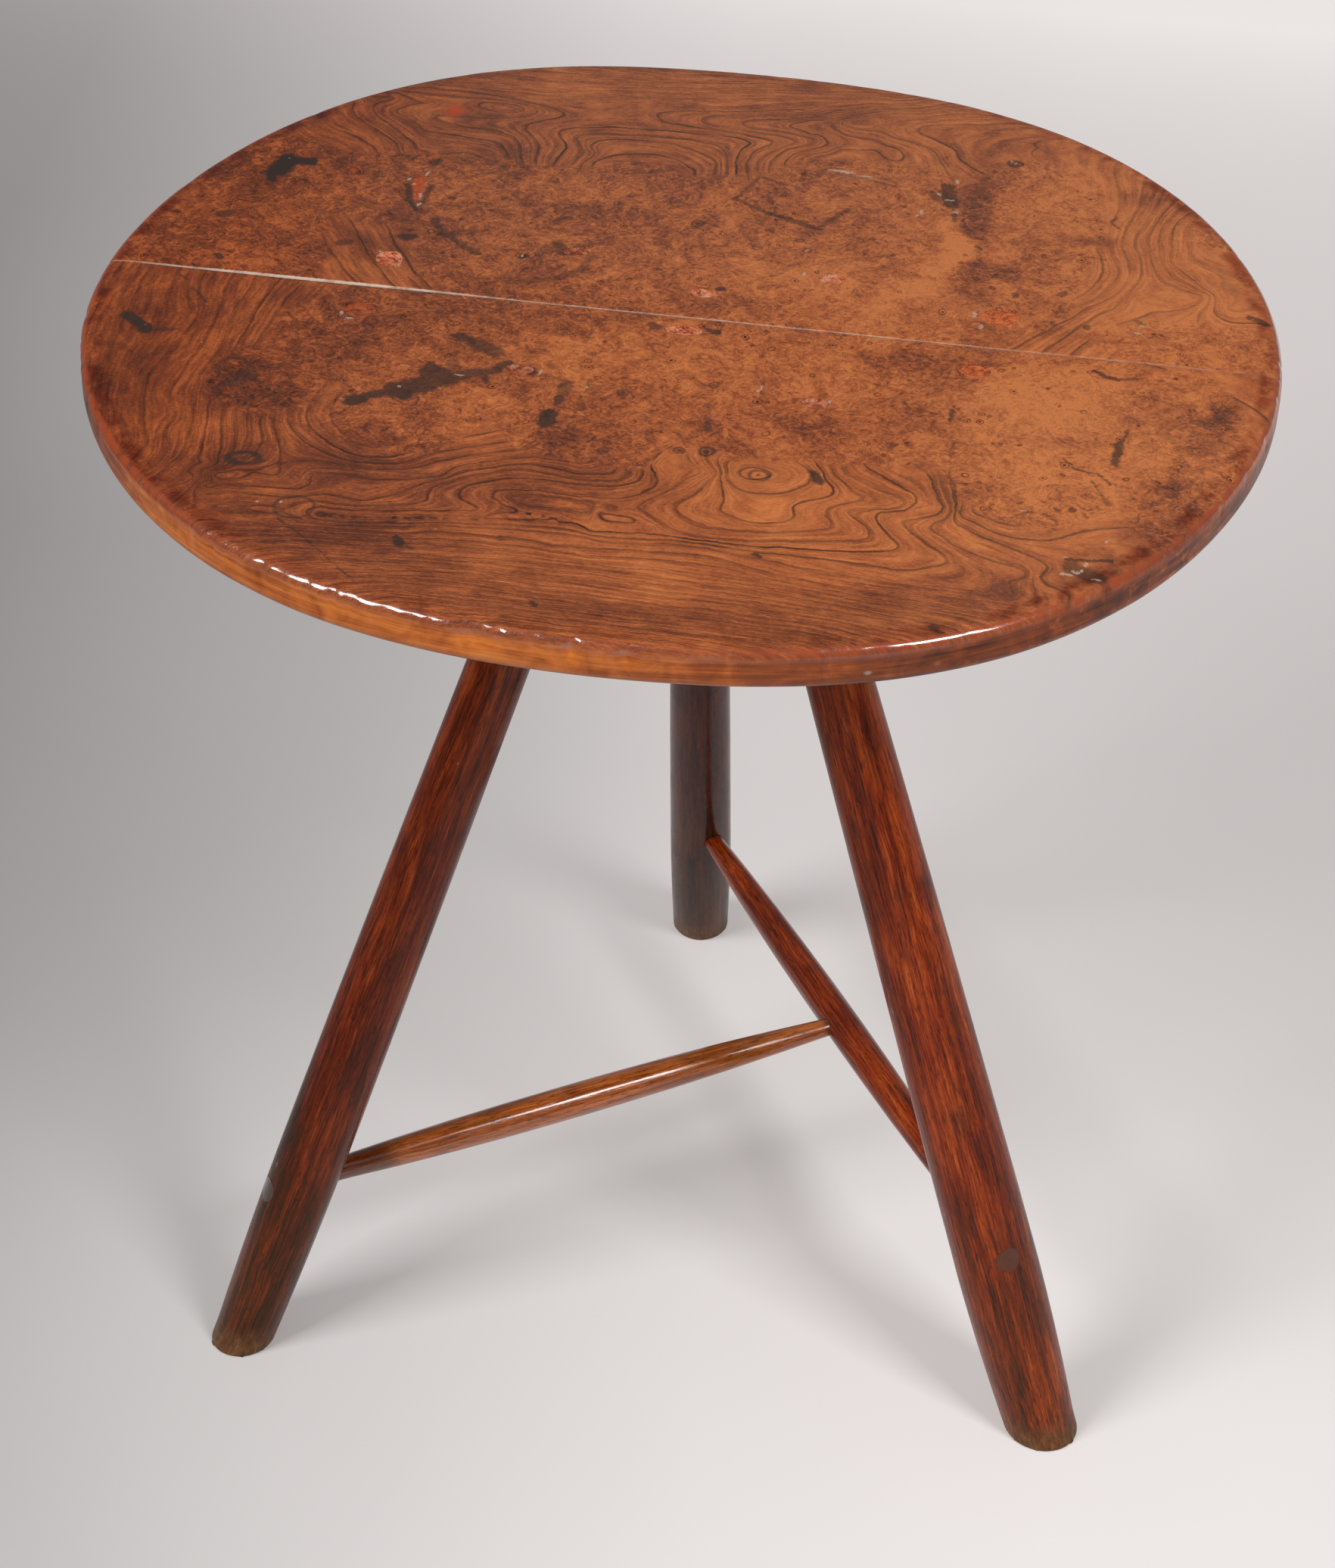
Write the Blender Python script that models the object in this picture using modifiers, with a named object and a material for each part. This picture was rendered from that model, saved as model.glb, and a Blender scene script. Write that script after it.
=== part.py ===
"""A cricket table: an oval top of two boards on three splayed round legs with a T of stretchers.

Run it with blender --background --python part.py, or from Blender's text editor.
Lengths are metres and angles are degrees. +X runs along the joint of the boards, +Y to the back
leg and +Z up. The floor is at Z = 0, and the origin is under the middle of the table's extents.
"""

import math
from dataclasses import dataclass

import bmesh
import bpy
from mathutils import Matrix, Vector

# The whole table
TABLE_HEIGHT = 0.660
FIT_GAP = 0.0003
SAW_OVERRUN = 0.012
SAME_PLACE = 0.00001
SHARP_ANGLE = 35.0

# The top: two boards sawn to one oval
TOP_LENGTH = 0.618
TOP_WIDTH = 0.567
TOP_THICKNESS = 0.0240
TOP_UPPER_ROUND = 0.0045
TOP_LOWER_ROUND = 0.0070
JOINT_OFFSET = 0.0025
OUTLINE_STEPS = 112
UPPER_ROUND_STEPS = 3
LOWER_ROUND_STEPS = 3
# How far the sawn outline strays from a true ellipse: waves a turn, cosine share, sine share
OUTLINE_WAVE_SHARES = (
    (3, -0.0010, 0.0028),
    (4, -0.0141, 0.0023),
    (5, -0.0010, -0.0017),
    (6, 0.0035, 0.0011),
)

# The block under the top that the legs are socketed in
BLOCK_LENGTH = 0.392
BLOCK_WIDTH = 0.200
BLOCK_THICKNESS = 0.038
BLOCK_CORNER_LENGTH = 0.098
BLOCK_CORNER_WIDTH = 0.058
BLOCK_CHAMFER = 0.005

# The legs: where each meets the top's underside, how it leans, and its thicknesses
LEFT_SOCKET_REACH = 0.0419
LEFT_SOCKET_BEARING = 214.1
LEFT_LEAN = 20.56
LEFT_LEAN_BEARING = 211.9
LEFT_FOOT_DIAMETER = 0.0362
LEFT_BELLY_DIAMETER = 0.0412
LEFT_BELLY_HEIGHT = 0.135
LEFT_NECK_DIAMETER = 0.0325

RIGHT_SOCKET_REACH = 0.0482
RIGHT_SOCKET_BEARING = 336.2
RIGHT_LEAN = 20.32
RIGHT_LEAN_BEARING = 331.4
RIGHT_FOOT_DIAMETER = 0.0420
RIGHT_BELLY_DIAMETER = 0.0492
RIGHT_BELLY_HEIGHT = 0.110
RIGHT_NECK_DIAMETER = 0.0335

BACK_SOCKET_REACH = 0.0461
BACK_SOCKET_BEARING = 87.6
BACK_LEAN = 20.50
BACK_LEAN_BEARING = 96.1
BACK_FOOT_DIAMETER = 0.0380
BACK_BELLY_DIAMETER = 0.0412
BACK_BELLY_HEIGHT = 0.105
BACK_NECK_DIAMETER = 0.0315

LEG_TENON_DIAMETER = 0.0250
LEG_NECK_RUN = 0.022
LEG_SIDES = 24
LEG_STEPS_BELOW_BELLY = 5
LEG_STEPS_ABOVE_BELLY = 8
LEG_FALL_TO_FOOT_POWER = 2.0
LEG_FALL_TO_NECK_POWER = 1.2

# The wedge driven into the end of each leg's tenon
WEDGE_THICKNESS = 0.0040
WEDGE_LENGTH = 0.024
WEDGE_TIP_SHARE = 0.25
WEDGE_WIDTH_SHARE = 0.93

# The long stretcher, from the back leg to the right leg
LONG_BACK_HEIGHT = 0.1292
LONG_RIGHT_HEIGHT = 0.1335
LONG_MIDDLE_DIAMETER = 0.0222
LONG_BACK_TENON_DIAMETER = 0.0130
LONG_RIGHT_TENON_DIAMETER = 0.0150

# The short stretcher, from the left leg into the long stretcher
SHORT_LEFT_HEIGHT = 0.1188
SHORT_MEETS_LONG_SHARE = 0.524
SHORT_MIDDLE_DIAMETER = 0.0212
SHORT_LEFT_TENON_DIAMETER = 0.0145
SHORT_END_TENON_DIAMETER = 0.0115
SHORT_END_TENON_DEPTH = 0.0120

STRETCHER_SIDES = 16
STRETCHER_STEPS = 9
STRETCHER_SWELL_POWER = 2.2
TENON_END_SUNK = 0.0008

# The countersunk screws that hold the boards to the block
SCREW_HEAD_DIAMETER = 0.0082
SCREW_SHANK_DIAMETER = 0.0042
SCREW_RIM_HEIGHT = 0.0005
SCREW_SLOT_WIDTH = 0.0012
SCREW_SLOT_DEPTH = 0.0010
SCREW_BITE_SHARE = 0.75
SCREW_PLAIN_SHARE = 0.45
SCREW_ROOT_SHARE = 0.78
SCREW_TIP_SHARE = 0.16
SCREW_SIDES = 10
SCREW_SLOT_TURN = 137.5

# The fillers over the sunk screw heads
FILLER_DEPTH = 0.0080
FILLER_SIDES = 16
# Places along and across the block, as shares of its half length and half width, and the
# filler's length and width as shares of the screw head's diameter
FILLER_SHARES = {
    "left_rear": (-0.831, 0.311, 1.90, 1.85),
    "left_front": (-0.844, -0.225, 2.15, 1.85),
    "mid_left_rear": (-0.343, 0.574, 1.75, 1.16),
    "mid_left_front": (-0.372, -0.637, 1.85, 1.16),
    "mid_right_rear": (0.361, 0.553, 1.75, 1.16),
    "mid_right_front": (0.399, -0.666, 1.75, 1.16),
    "right_rear": (0.822, 0.324, 2.80, 1.85),
    "right_front": (0.783, -0.212, 2.10, 1.40),
}
# The middle pair stands between the legs' sockets, so its places are shares of the back socket's
# reach
CENTRE_FILLER_SHARES = {
    "centre_rear": (0.143, 0.607, 1.75, 1.16),
    "centre_front": (0.059, -0.241, 2.45, 1.16),
}

# Colours, linear, with roughness and metallic value
ELM = ("elm_top", (0.300, 0.095, 0.022), 0.38, 0.0)
DARK_WOOD = ("dark_legs", (0.085, 0.022, 0.012), 0.36, 0.0)
BLOCK_WOOD = ("block_wood", (0.120, 0.050, 0.022), 0.60, 0.0)
WEDGE_WOOD = ("wedge_wood", (0.330, 0.170, 0.075), 0.60, 0.0)
FILLER_WAX = ("filler_wax", (0.300, 0.060, 0.040), 0.45, 0.0)
SCREW_IRON = ("screw_iron", (0.130, 0.120, 0.115), 0.50, 1.0)

TURN = 2.0 * math.pi
GRAIN = Vector((1.0, 0.0, 0.0))

# Heights that follow from the sizes
UNDERSIDE = TABLE_HEIGHT - TOP_THICKNESS
BLOCK_TOP = UNDERSIDE - FIT_GAP
BLOCK_BOTTOM = BLOCK_TOP - BLOCK_THICKNESS
SCREW_TOP = TABLE_HEIGHT - FILLER_DEPTH
SCREW_LENGTH = TOP_THICKNESS - FILLER_DEPTH + BLOCK_THICKNESS * SCREW_BITE_SHARE


@dataclass(frozen=True)
class Leg:
    """A leg's centre line, from the floor to the underside of the top, and its thicknesses."""

    name: str
    socket_reach: float
    socket_bearing: float
    lean: float
    lean_bearing: float
    foot_diameter: float
    belly_diameter: float
    belly_height: float
    neck_diameter: float

    @property
    def slope(self):
        return math.tan(math.radians(self.lean))

    @property
    def stretch(self):
        """Length along the leg for each unit of height."""
        return 1.0 / math.cos(math.radians(self.lean))

    @property
    def socket(self):
        bearing = math.radians(self.socket_bearing)
        across = self.socket_reach * Vector((math.cos(bearing), math.sin(bearing), 0.0))
        return across + Vector((0.0, 0.0, UNDERSIDE))

    def at_height(self, height):
        """The point of the centre line at this height."""
        bearing = math.radians(self.lean_bearing)
        outward = Vector((math.cos(bearing), math.sin(bearing), 0.0)) * self.slope
        return self.socket + (UNDERSIDE - height) * (outward - Vector((0.0, 0.0, 1.0)))

    @property
    def tenon_start(self):
        """Distance up the leg at which its tenon begins, just under the block."""
        mouth = BLOCK_BOTTOM * self.stretch
        return mouth - self.slope * LEG_TENON_DIAMETER / 2 - FIT_GAP

    def radius_at(self, distance):
        """Radius of the shaved leg at this distance up it."""
        belly = self.belly_height * self.stretch
        neck = self.tenon_start - LEG_NECK_RUN
        if distance < belly:
            share = (belly - distance) / belly
            drop = (self.belly_diameter - self.foot_diameter) * share**LEG_FALL_TO_FOOT_POWER
        else:
            share = (distance - belly) / (neck - belly)
            drop = (self.belly_diameter - self.neck_diameter) * share**LEG_FALL_TO_NECK_POWER
        return (self.belly_diameter - drop) / 2


LEG_LEFT = Leg(
    "left",
    LEFT_SOCKET_REACH,
    LEFT_SOCKET_BEARING,
    LEFT_LEAN,
    LEFT_LEAN_BEARING,
    LEFT_FOOT_DIAMETER,
    LEFT_BELLY_DIAMETER,
    LEFT_BELLY_HEIGHT,
    LEFT_NECK_DIAMETER,
)
LEG_RIGHT = Leg(
    "right",
    RIGHT_SOCKET_REACH,
    RIGHT_SOCKET_BEARING,
    RIGHT_LEAN,
    RIGHT_LEAN_BEARING,
    RIGHT_FOOT_DIAMETER,
    RIGHT_BELLY_DIAMETER,
    RIGHT_BELLY_HEIGHT,
    RIGHT_NECK_DIAMETER,
)
LEG_BACK = Leg(
    "back",
    BACK_SOCKET_REACH,
    BACK_SOCKET_BEARING,
    BACK_LEAN,
    BACK_LEAN_BEARING,
    BACK_FOOT_DIAMETER,
    BACK_BELLY_DIAMETER,
    BACK_BELLY_HEIGHT,
    BACK_NECK_DIAMETER,
)
LEGS = (LEG_LEFT, LEG_RIGHT, LEG_BACK)


def clear_scene():
    for obj in list(bpy.data.objects):
        bpy.data.objects.remove(obj, do_unlink=True)


def new_collection(name, cutters=False):
    collection = bpy.data.collections.new(name)
    bpy.context.scene.collection.children.link(collection)
    collection.hide_render = cutters
    return collection


clear_scene()
PARTS = new_collection("cricket_table")
CUTTERS = new_collection("cutters", cutters=True)
ROOT = bpy.data.objects.new("table_frame", None)
PARTS.objects.link(ROOT)


def finish_material(finish):
    """The Principled material of this finish, made once."""
    name, colour, roughness, metallic = finish
    if name in bpy.data.materials:
        return bpy.data.materials[name]
    material = bpy.data.materials.new(name)
    material.use_nodes = True
    shader = material.node_tree.nodes["Principled BSDF"]
    shader.inputs["Base Color"].default_value = (*colour, 1.0)
    shader.inputs["Roughness"].default_value = roughness
    shader.inputs["Metallic"].default_value = metallic
    material.diffuse_color = (*colour, 1.0)
    return material


def add_object(name, mesh, finish=None, placement=None):
    """Puts a mesh in the scene: as a piece of the table in its finish, or else as a cutter."""
    obj = bpy.data.objects.new(name, mesh)
    if finish is None:
        CUTTERS.objects.link(obj)
        obj.hide_render = True
        obj.display_type = "WIRE"
    else:
        PARTS.objects.link(obj)
        mesh.materials.append(finish_material(finish))
    obj.parent = ROOT
    if placement is not None:
        obj.matrix_local = placement
    return obj


def bmesh_object(name, bm, finish=None, placement=None, smooth=False):
    bmesh.ops.recalc_face_normals(bm, faces=bm.faces)
    mesh = bpy.data.meshes.new(name)
    bm.to_mesh(mesh)
    bm.free()
    if smooth:
        mesh.shade_smooth()
        mesh.set_sharp_from_angle(angle=math.radians(SHARP_ANGLE))
    return add_object(name, mesh, finish, placement)


def turned_object(name, profile, sides, finish=None, placement=None):
    """A solid turned about Z from a profile of (radius, height) points, listed top to bottom."""
    mesh = bpy.data.meshes.new(name)
    points = [(radius, 0.0, height) for radius, height in profile]
    mesh.from_pydata(points, [(i, i + 1) for i in range(len(points) - 1)], [])
    obj = add_object(name, mesh, finish, placement)
    screw = obj.modifiers.new("turn", "SCREW")
    screw.steps = sides
    screw.render_steps = sides
    screw.use_merge_vertices = True
    screw.merge_threshold = SAME_PLACE
    return obj


def frame_along(start, end, side=GRAIN):
    """A placement at start, with Z towards end and X as near to side as it can be."""
    z = (end - start).normalized()
    x = (side - z * side.dot(z)).normalized()
    turn = Matrix((x, z.cross(x), z)).transposed().to_4x4()
    return Matrix.Translation(start) @ turn


def cut(obj, cutter):
    boolean = obj.modifiers.new(cutter.name, "BOOLEAN")
    boolean.operation = "DIFFERENCE"
    boolean.solver = "EXACT"
    boolean.object = cutter


def box_cutter(name, low, high):
    bm = bmesh.new()
    low, high = Vector(low), Vector(high)
    size = high - low
    place = Matrix.Translation((low + high) / 2) @ Matrix.Diagonal((*size, 1.0))
    bmesh.ops.create_cube(bm, size=1.0, matrix=place)
    return bmesh_object(name, bm)


def rod_cutter(name, radius, low, high, sides, placement):
    """A round cutter along its placement's Z, from low to high."""
    bm = bmesh.new()
    bmesh.ops.create_cone(
        bm,
        cap_ends=True,
        segments=sides,
        radius1=radius,
        radius2=radius,
        depth=high - low,
        matrix=Matrix.Translation((0.0, 0.0, (low + high) / 2)),
    )
    return bmesh_object(name, bm, placement=placement)


def outline_point(step):
    """A point of the top's outline: an ellipse with slow waves, as sawn and worn by hand."""
    angle = TURN * step / OUTLINE_STEPS
    half_length, half_width = TOP_LENGTH / 2, TOP_WIDTH / 2
    along = half_width * math.cos(angle)
    across = half_length * math.sin(angle)
    radius = half_length * half_width / math.hypot(along, across)
    for waves, cosine_share, sine_share in OUTLINE_WAVE_SHARES:
        swing = cosine_share * math.cos(waves * angle) + sine_share * math.sin(waves * angle)
        radius += half_length * swing
    return Vector((radius * math.cos(angle), radius * math.sin(angle), 0.0))


def outline_points():
    """The outline, stretched to the top's full length and width."""
    points = [outline_point(step) for step in range(OUTLINE_STEPS)]
    lowest = [min(point[axis] for point in points) for axis in (0, 1)]
    highest = [max(point[axis] for point in points) for axis in (0, 1)]
    stretch_x = TOP_LENGTH / (highest[0] - lowest[0])
    stretch_y = TOP_WIDTH / (highest[1] - lowest[1])
    return [Vector((point.x * stretch_x, point.y * stretch_y, UNDERSIDE)) for point in points]


def round_rim(bm, height, width, steps):
    """Rounds the edges of the rim that lies at this height."""
    rim = [
        edge
        for edge in bm.edges
        if all(math.isclose(vert.co.z, height, abs_tol=SAME_PLACE) for vert in edge.verts)
    ]
    bmesh.ops.bevel(
        bm,
        geom=rim,
        offset=width,
        offset_type="OFFSET",
        segments=steps,
        profile=0.5,
        affect="EDGES",
        material=-1,
    )


def build_board(name, rear):
    """One board of the top: the rounded oval, sawn off at the joint."""
    bm = bmesh.new()
    face = bm.faces.new([bm.verts.new(point) for point in outline_points()])
    raised = bmesh.ops.extrude_face_region(bm, geom=[face])["geom"]
    verts = [item for item in raised if isinstance(item, bmesh.types.BMVert)]
    bmesh.ops.translate(bm, verts=verts, vec=(0.0, 0.0, TOP_THICKNESS))
    bmesh.ops.recalc_face_normals(bm, faces=bm.faces)
    round_rim(bm, TABLE_HEIGHT, TOP_UPPER_ROUND, UPPER_ROUND_STEPS)
    round_rim(bm, UNDERSIDE, TOP_LOWER_ROUND, LOWER_ROUND_STEPS)
    half_gap = FIT_GAP / 2 if rear else -FIT_GAP / 2
    sawn = bmesh.ops.bisect_plane(
        bm,
        geom=[*bm.verts, *bm.edges, *bm.faces],
        plane_co=(0.0, JOINT_OFFSET + half_gap, 0.0),
        plane_no=(0.0, 1.0, 0.0),
        clear_inner=rear,
        clear_outer=not rear,
    )["geom_cut"]
    bmesh.ops.contextual_create(bm, geom=[e for e in sawn if isinstance(e, bmesh.types.BMEdge)])
    return bmesh_object(name, bm, ELM, smooth=True)


def build_block():
    """The long block under the top, with clipped corners and chamfered lower edges."""
    half_length, half_width = BLOCK_LENGTH / 2, BLOCK_WIDTH / 2
    inner_length = half_length - BLOCK_CORNER_LENGTH
    inner_width = half_width - BLOCK_CORNER_WIDTH
    corners = [
        (half_length, -inner_width),
        (half_length, inner_width),
        (inner_length, half_width),
        (-inner_length, half_width),
        (-half_length, inner_width),
        (-half_length, -inner_width),
        (-inner_length, -half_width),
        (inner_length, -half_width),
    ]
    bm = bmesh.new()
    face = bm.faces.new([bm.verts.new((x, y, BLOCK_TOP)) for x, y in corners])
    lowered = bmesh.ops.extrude_face_region(bm, geom=[face])["geom"]
    verts = [item for item in lowered if isinstance(item, bmesh.types.BMVert)]
    bmesh.ops.translate(bm, verts=verts, vec=(0.0, 0.0, -BLOCK_THICKNESS))
    bmesh.ops.recalc_face_normals(bm, faces=bm.faces)
    round_rim(bm, BLOCK_BOTTOM, BLOCK_CHAMFER, 1)
    return bmesh_object("leg_block", bm, BLOCK_WOOD)


def leg_placement(leg):
    return frame_along(leg.at_height(0.0), leg.socket)


def build_leg(leg):
    """A leg turned to its swelling profile, with a thinner round tenon at its head."""
    tenon = LEG_TENON_DIAMETER / 2
    head = TABLE_HEIGHT * leg.stretch
    neck = leg.tenon_start - LEG_NECK_RUN
    belly = leg.belly_height * leg.stretch
    foot = -leg.foot_diameter * leg.slope - SAW_OVERRUN
    above = [neck + (belly - neck) * i / LEG_STEPS_ABOVE_BELLY for i in range(LEG_STEPS_ABOVE_BELLY)]
    below = [belly * (1 - i / LEG_STEPS_BELOW_BELLY) for i in range(LEG_STEPS_BELOW_BELLY + 1)]
    profile = [(0.0, head), (tenon, head), (tenon, leg.tenon_start)]
    profile += [(leg.radius_at(distance), distance) for distance in above + below]
    profile += [(leg.foot_diameter / 2, foot), (0.0, foot)]
    return turned_object(f"leg_{leg.name}", profile, LEG_SIDES, DARK_WOOD, leg_placement(leg))


def wedge_mesh(thickness, tip_thickness, width, low, high):
    """A wedge along Z: its tip at low, its thick end at high."""
    bm = bmesh.new()
    bmesh.ops.create_cube(bm, size=1.0)
    for vert in bm.verts:
        at_tip = vert.co.z < 0.0
        vert.co.x *= tip_thickness if at_tip else thickness
        vert.co.y *= width
        vert.co.z = low if at_tip else high
    return bm


def build_wedge(leg, leg_object, block_saw):
    """The wedge in a leg's tenon, and the kerf that it fills."""
    flush = BLOCK_TOP * leg.stretch
    tip = flush - WEDGE_LENGTH
    over = flush + leg.slope * LEG_TENON_DIAMETER + SAW_OVERRUN
    grown = (over - tip) / WEDGE_LENGTH
    tip_thickness = WEDGE_THICKNESS * WEDGE_TIP_SHARE
    thickness = tip_thickness + (WEDGE_THICKNESS - tip_thickness) * grown
    width = LEG_TENON_DIAMETER * WEDGE_WIDTH_SHARE
    wedge = bmesh_object(
        f"leg_wedge_{leg.name}",
        wedge_mesh(thickness, tip_thickness, width, tip, over),
        WEDGE_WOOD,
        leg_placement(leg),
    )
    thickness += 2 * FIT_GAP
    tip_thickness += 2 * FIT_GAP
    width = LEG_TENON_DIAMETER + 2 * SAW_OVERRUN
    kerf = bmesh_object(
        f"kerf_{leg.name}",
        wedge_mesh(thickness, tip_thickness, width, tip - FIT_GAP, over),
        placement=leg_placement(leg),
    )
    cut(leg_object, kerf)
    cut(leg_object, block_saw)
    cut(wedge, block_saw)


def bore_socket(block, leg):
    """The slanted hole through the block for a leg's tenon."""
    radius = LEG_TENON_DIAMETER / 2 + FIT_GAP
    low = BLOCK_BOTTOM * leg.stretch - leg.slope * radius - SAW_OVERRUN
    high = TABLE_HEIGHT * leg.stretch
    placement = leg_placement(leg)
    cut(block, rod_cutter(f"socket_{leg.name}", radius, low, high, LEG_SIDES, placement))


@dataclass(frozen=True)
class StretcherEnd:
    """An end of a stretcher: a point on its carrier's centre line, and how it goes in."""

    point: Vector
    tenon_diameter: float
    shoulder: float
    tip: float


def through_end(leg, height, tenon_diameter, other):
    """An end that goes right through a leg, its middle just short of the leg's surface."""
    point = leg.at_height(height)
    lengthwise = (leg.socket - leg.at_height(0.0)).normalized()
    along = (other - point).normalized()
    cosine = abs(lengthwise.dot(along))
    sine = math.sqrt(1.0 - cosine**2)
    half_path = leg.radius_at(height * leg.stretch) / sine
    shoulder = half_path + tenon_diameter / 2 * cosine / sine + FIT_GAP
    return StretcherEnd(point, tenon_diameter, shoulder, TENON_END_SUNK - half_path)


def stretcher_profile(length, near, far, middle_diameter):
    """Radii along a stretcher from its near end's centre line, swelling towards the middle."""
    near_radius, far_radius = near.tenon_diameter / 2, far.tenon_diameter / 2
    start, end = near.shoulder, length - far.shoulder
    profile = [(0.0, near.tip), (near_radius, near.tip)]
    for step in range(STRETCHER_STEPS + 1):
        share = step / STRETCHER_STEPS
        straight = near_radius + (far_radius - near_radius) * share
        swell = 1.0 - abs(2.0 * share - 1.0) ** STRETCHER_SWELL_POWER
        radius = straight + (middle_diameter / 2 - (near_radius + far_radius) / 2) * swell
        profile.append((radius, start + (end - start) * share))
    profile += [(far_radius, length - far.tip), (0.0, length - far.tip)]
    return profile


def radius_along(profile, distance):
    """Radius of a turned profile at this distance, between its points."""
    for (radius_a, at_a), (radius_b, at_b) in zip(profile, profile[1:]):
        if at_a <= distance <= at_b and at_b > at_a:
            return radius_a + (radius_b - radius_a) * (distance - at_a) / (at_b - at_a)
    raise ValueError("the distance lies outside the profile")


def bore_mortise(carrier, name, end, placement, low, high):
    radius = end.tenon_diameter / 2 + FIT_GAP
    cut(carrier, rod_cutter(name, radius, low, high, STRETCHER_SIDES, placement))


def build_stretchers(leg_objects):
    """Both stretchers, and the mortises that they enter."""
    back_point = LEG_BACK.at_height(LONG_BACK_HEIGHT)
    right_point = LEG_RIGHT.at_height(LONG_RIGHT_HEIGHT)
    near = through_end(LEG_BACK, LONG_BACK_HEIGHT, LONG_BACK_TENON_DIAMETER, right_point)
    far = through_end(LEG_RIGHT, LONG_RIGHT_HEIGHT, LONG_RIGHT_TENON_DIAMETER, back_point)
    length = (right_point - back_point).length
    long_profile = stretcher_profile(length, near, far, LONG_MIDDLE_DIAMETER)
    placement = frame_along(back_point, right_point)
    long_stretcher = turned_object(
        "stretcher_long", long_profile[::-1], STRETCHER_SIDES, DARK_WOOD, placement
    )
    low, high = near.tip - SAW_OVERRUN, near.shoulder + SAW_OVERRUN
    bore_mortise(leg_objects["back"], "mortise_back", near, placement, low, high)
    low, high = length - far.shoulder - SAW_OVERRUN, length - far.tip + SAW_OVERRUN
    bore_mortise(leg_objects["right"], "mortise_right", far, placement, low, high)

    left_point = LEG_LEFT.at_height(SHORT_LEFT_HEIGHT)
    meeting = back_point.lerp(right_point, SHORT_MEETS_LONG_SHARE)
    near = through_end(LEG_LEFT, SHORT_LEFT_HEIGHT, SHORT_LEFT_TENON_DIAMETER, meeting)
    along = (meeting - left_point).normalized()
    cosine = abs(along.dot((right_point - back_point).normalized()))
    sine = math.sqrt(1.0 - cosine**2)
    half_path = radius_along(long_profile, length * SHORT_MEETS_LONG_SHARE) / sine
    shoulder = half_path + SHORT_END_TENON_DIAMETER / 2 * cosine / sine + FIT_GAP
    tip = half_path - SHORT_END_TENON_DEPTH
    far = StretcherEnd(meeting, SHORT_END_TENON_DIAMETER, shoulder, tip)
    length = (meeting - left_point).length
    short_profile = stretcher_profile(length, near, far, SHORT_MIDDLE_DIAMETER)
    placement = frame_along(left_point, meeting)
    turned_object("stretcher_short", short_profile[::-1], STRETCHER_SIDES, DARK_WOOD, placement)
    low, high = near.tip - SAW_OVERRUN, near.shoulder + SAW_OVERRUN
    bore_mortise(leg_objects["left"], "mortise_left", near, placement, low, high)
    low, high = length - far.shoulder - SAW_OVERRUN, length - far.tip + FIT_GAP
    bore_mortise(long_stretcher, "mortise_long", far, placement, low, high)


def filler_places():
    """Each filler's name, middle, length and width."""
    places = {}
    for name, (along, across, length_share, width_share) in FILLER_SHARES.items():
        middle = (along * BLOCK_LENGTH / 2, across * BLOCK_WIDTH / 2)
        places[name] = (*middle, length_share, width_share)
    for name, (along, across, length_share, width_share) in CENTRE_FILLER_SHARES.items():
        middle = (along * BACK_SOCKET_REACH, across * BACK_SOCKET_REACH)
        places[name] = (*middle, length_share, width_share)
    return {
        name: (x, y, length_share * SCREW_HEAD_DIAMETER, width_share * SCREW_HEAD_DIAMETER)
        for name, (x, y, length_share, width_share) in places.items()
    }


def oval_plug(x, y, length, width, low, high):
    """An upright plug of oval section."""
    bm = bmesh.new()
    bmesh.ops.create_cone(
        bm,
        cap_ends=True,
        segments=FILLER_SIDES,
        radius1=0.5,
        radius2=0.5,
        depth=1.0,
        matrix=Matrix.Translation((x, y, (low + high) / 2))
        @ Matrix.Diagonal((length, width, high - low, 1.0)),
    )
    return bm


def screw_profile(gap=0.0):
    """A countersunk screw from its head's top down, grown by this gap all round."""
    head, shank = SCREW_HEAD_DIAMETER / 2, SCREW_SHANK_DIAMETER / 2
    root = shank * SCREW_ROOT_SHARE
    rim = -SCREW_RIM_HEIGHT
    plain = -SCREW_LENGTH * SCREW_PLAIN_SHARE
    tip = -SCREW_LENGTH * (1.0 - SCREW_TIP_SHARE)
    return [
        (0.0, gap),
        (head + gap, gap),
        (head + gap, rim),
        (shank + gap, rim - (head - shank)),
        (shank + gap, plain),
        (root + gap, plain - (shank - root)),
        (root + gap, tip),
        (0.0, -SCREW_LENGTH - gap),
    ]


def build_screw(name, placement):
    """A screw with the slot across its head."""
    screw = turned_object(f"screw_{name}", screw_profile(), SCREW_SIDES, SCREW_IRON, placement)
    bm = bmesh.new()
    size = (2 * SCREW_HEAD_DIAMETER, SCREW_SLOT_WIDTH, 2 * SCREW_SLOT_DEPTH, 1.0)
    bmesh.ops.create_cube(bm, size=1.0, matrix=Matrix.Diagonal(size))
    cut(screw, bmesh_object(f"slot_{name}", bm, placement=placement))


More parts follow.
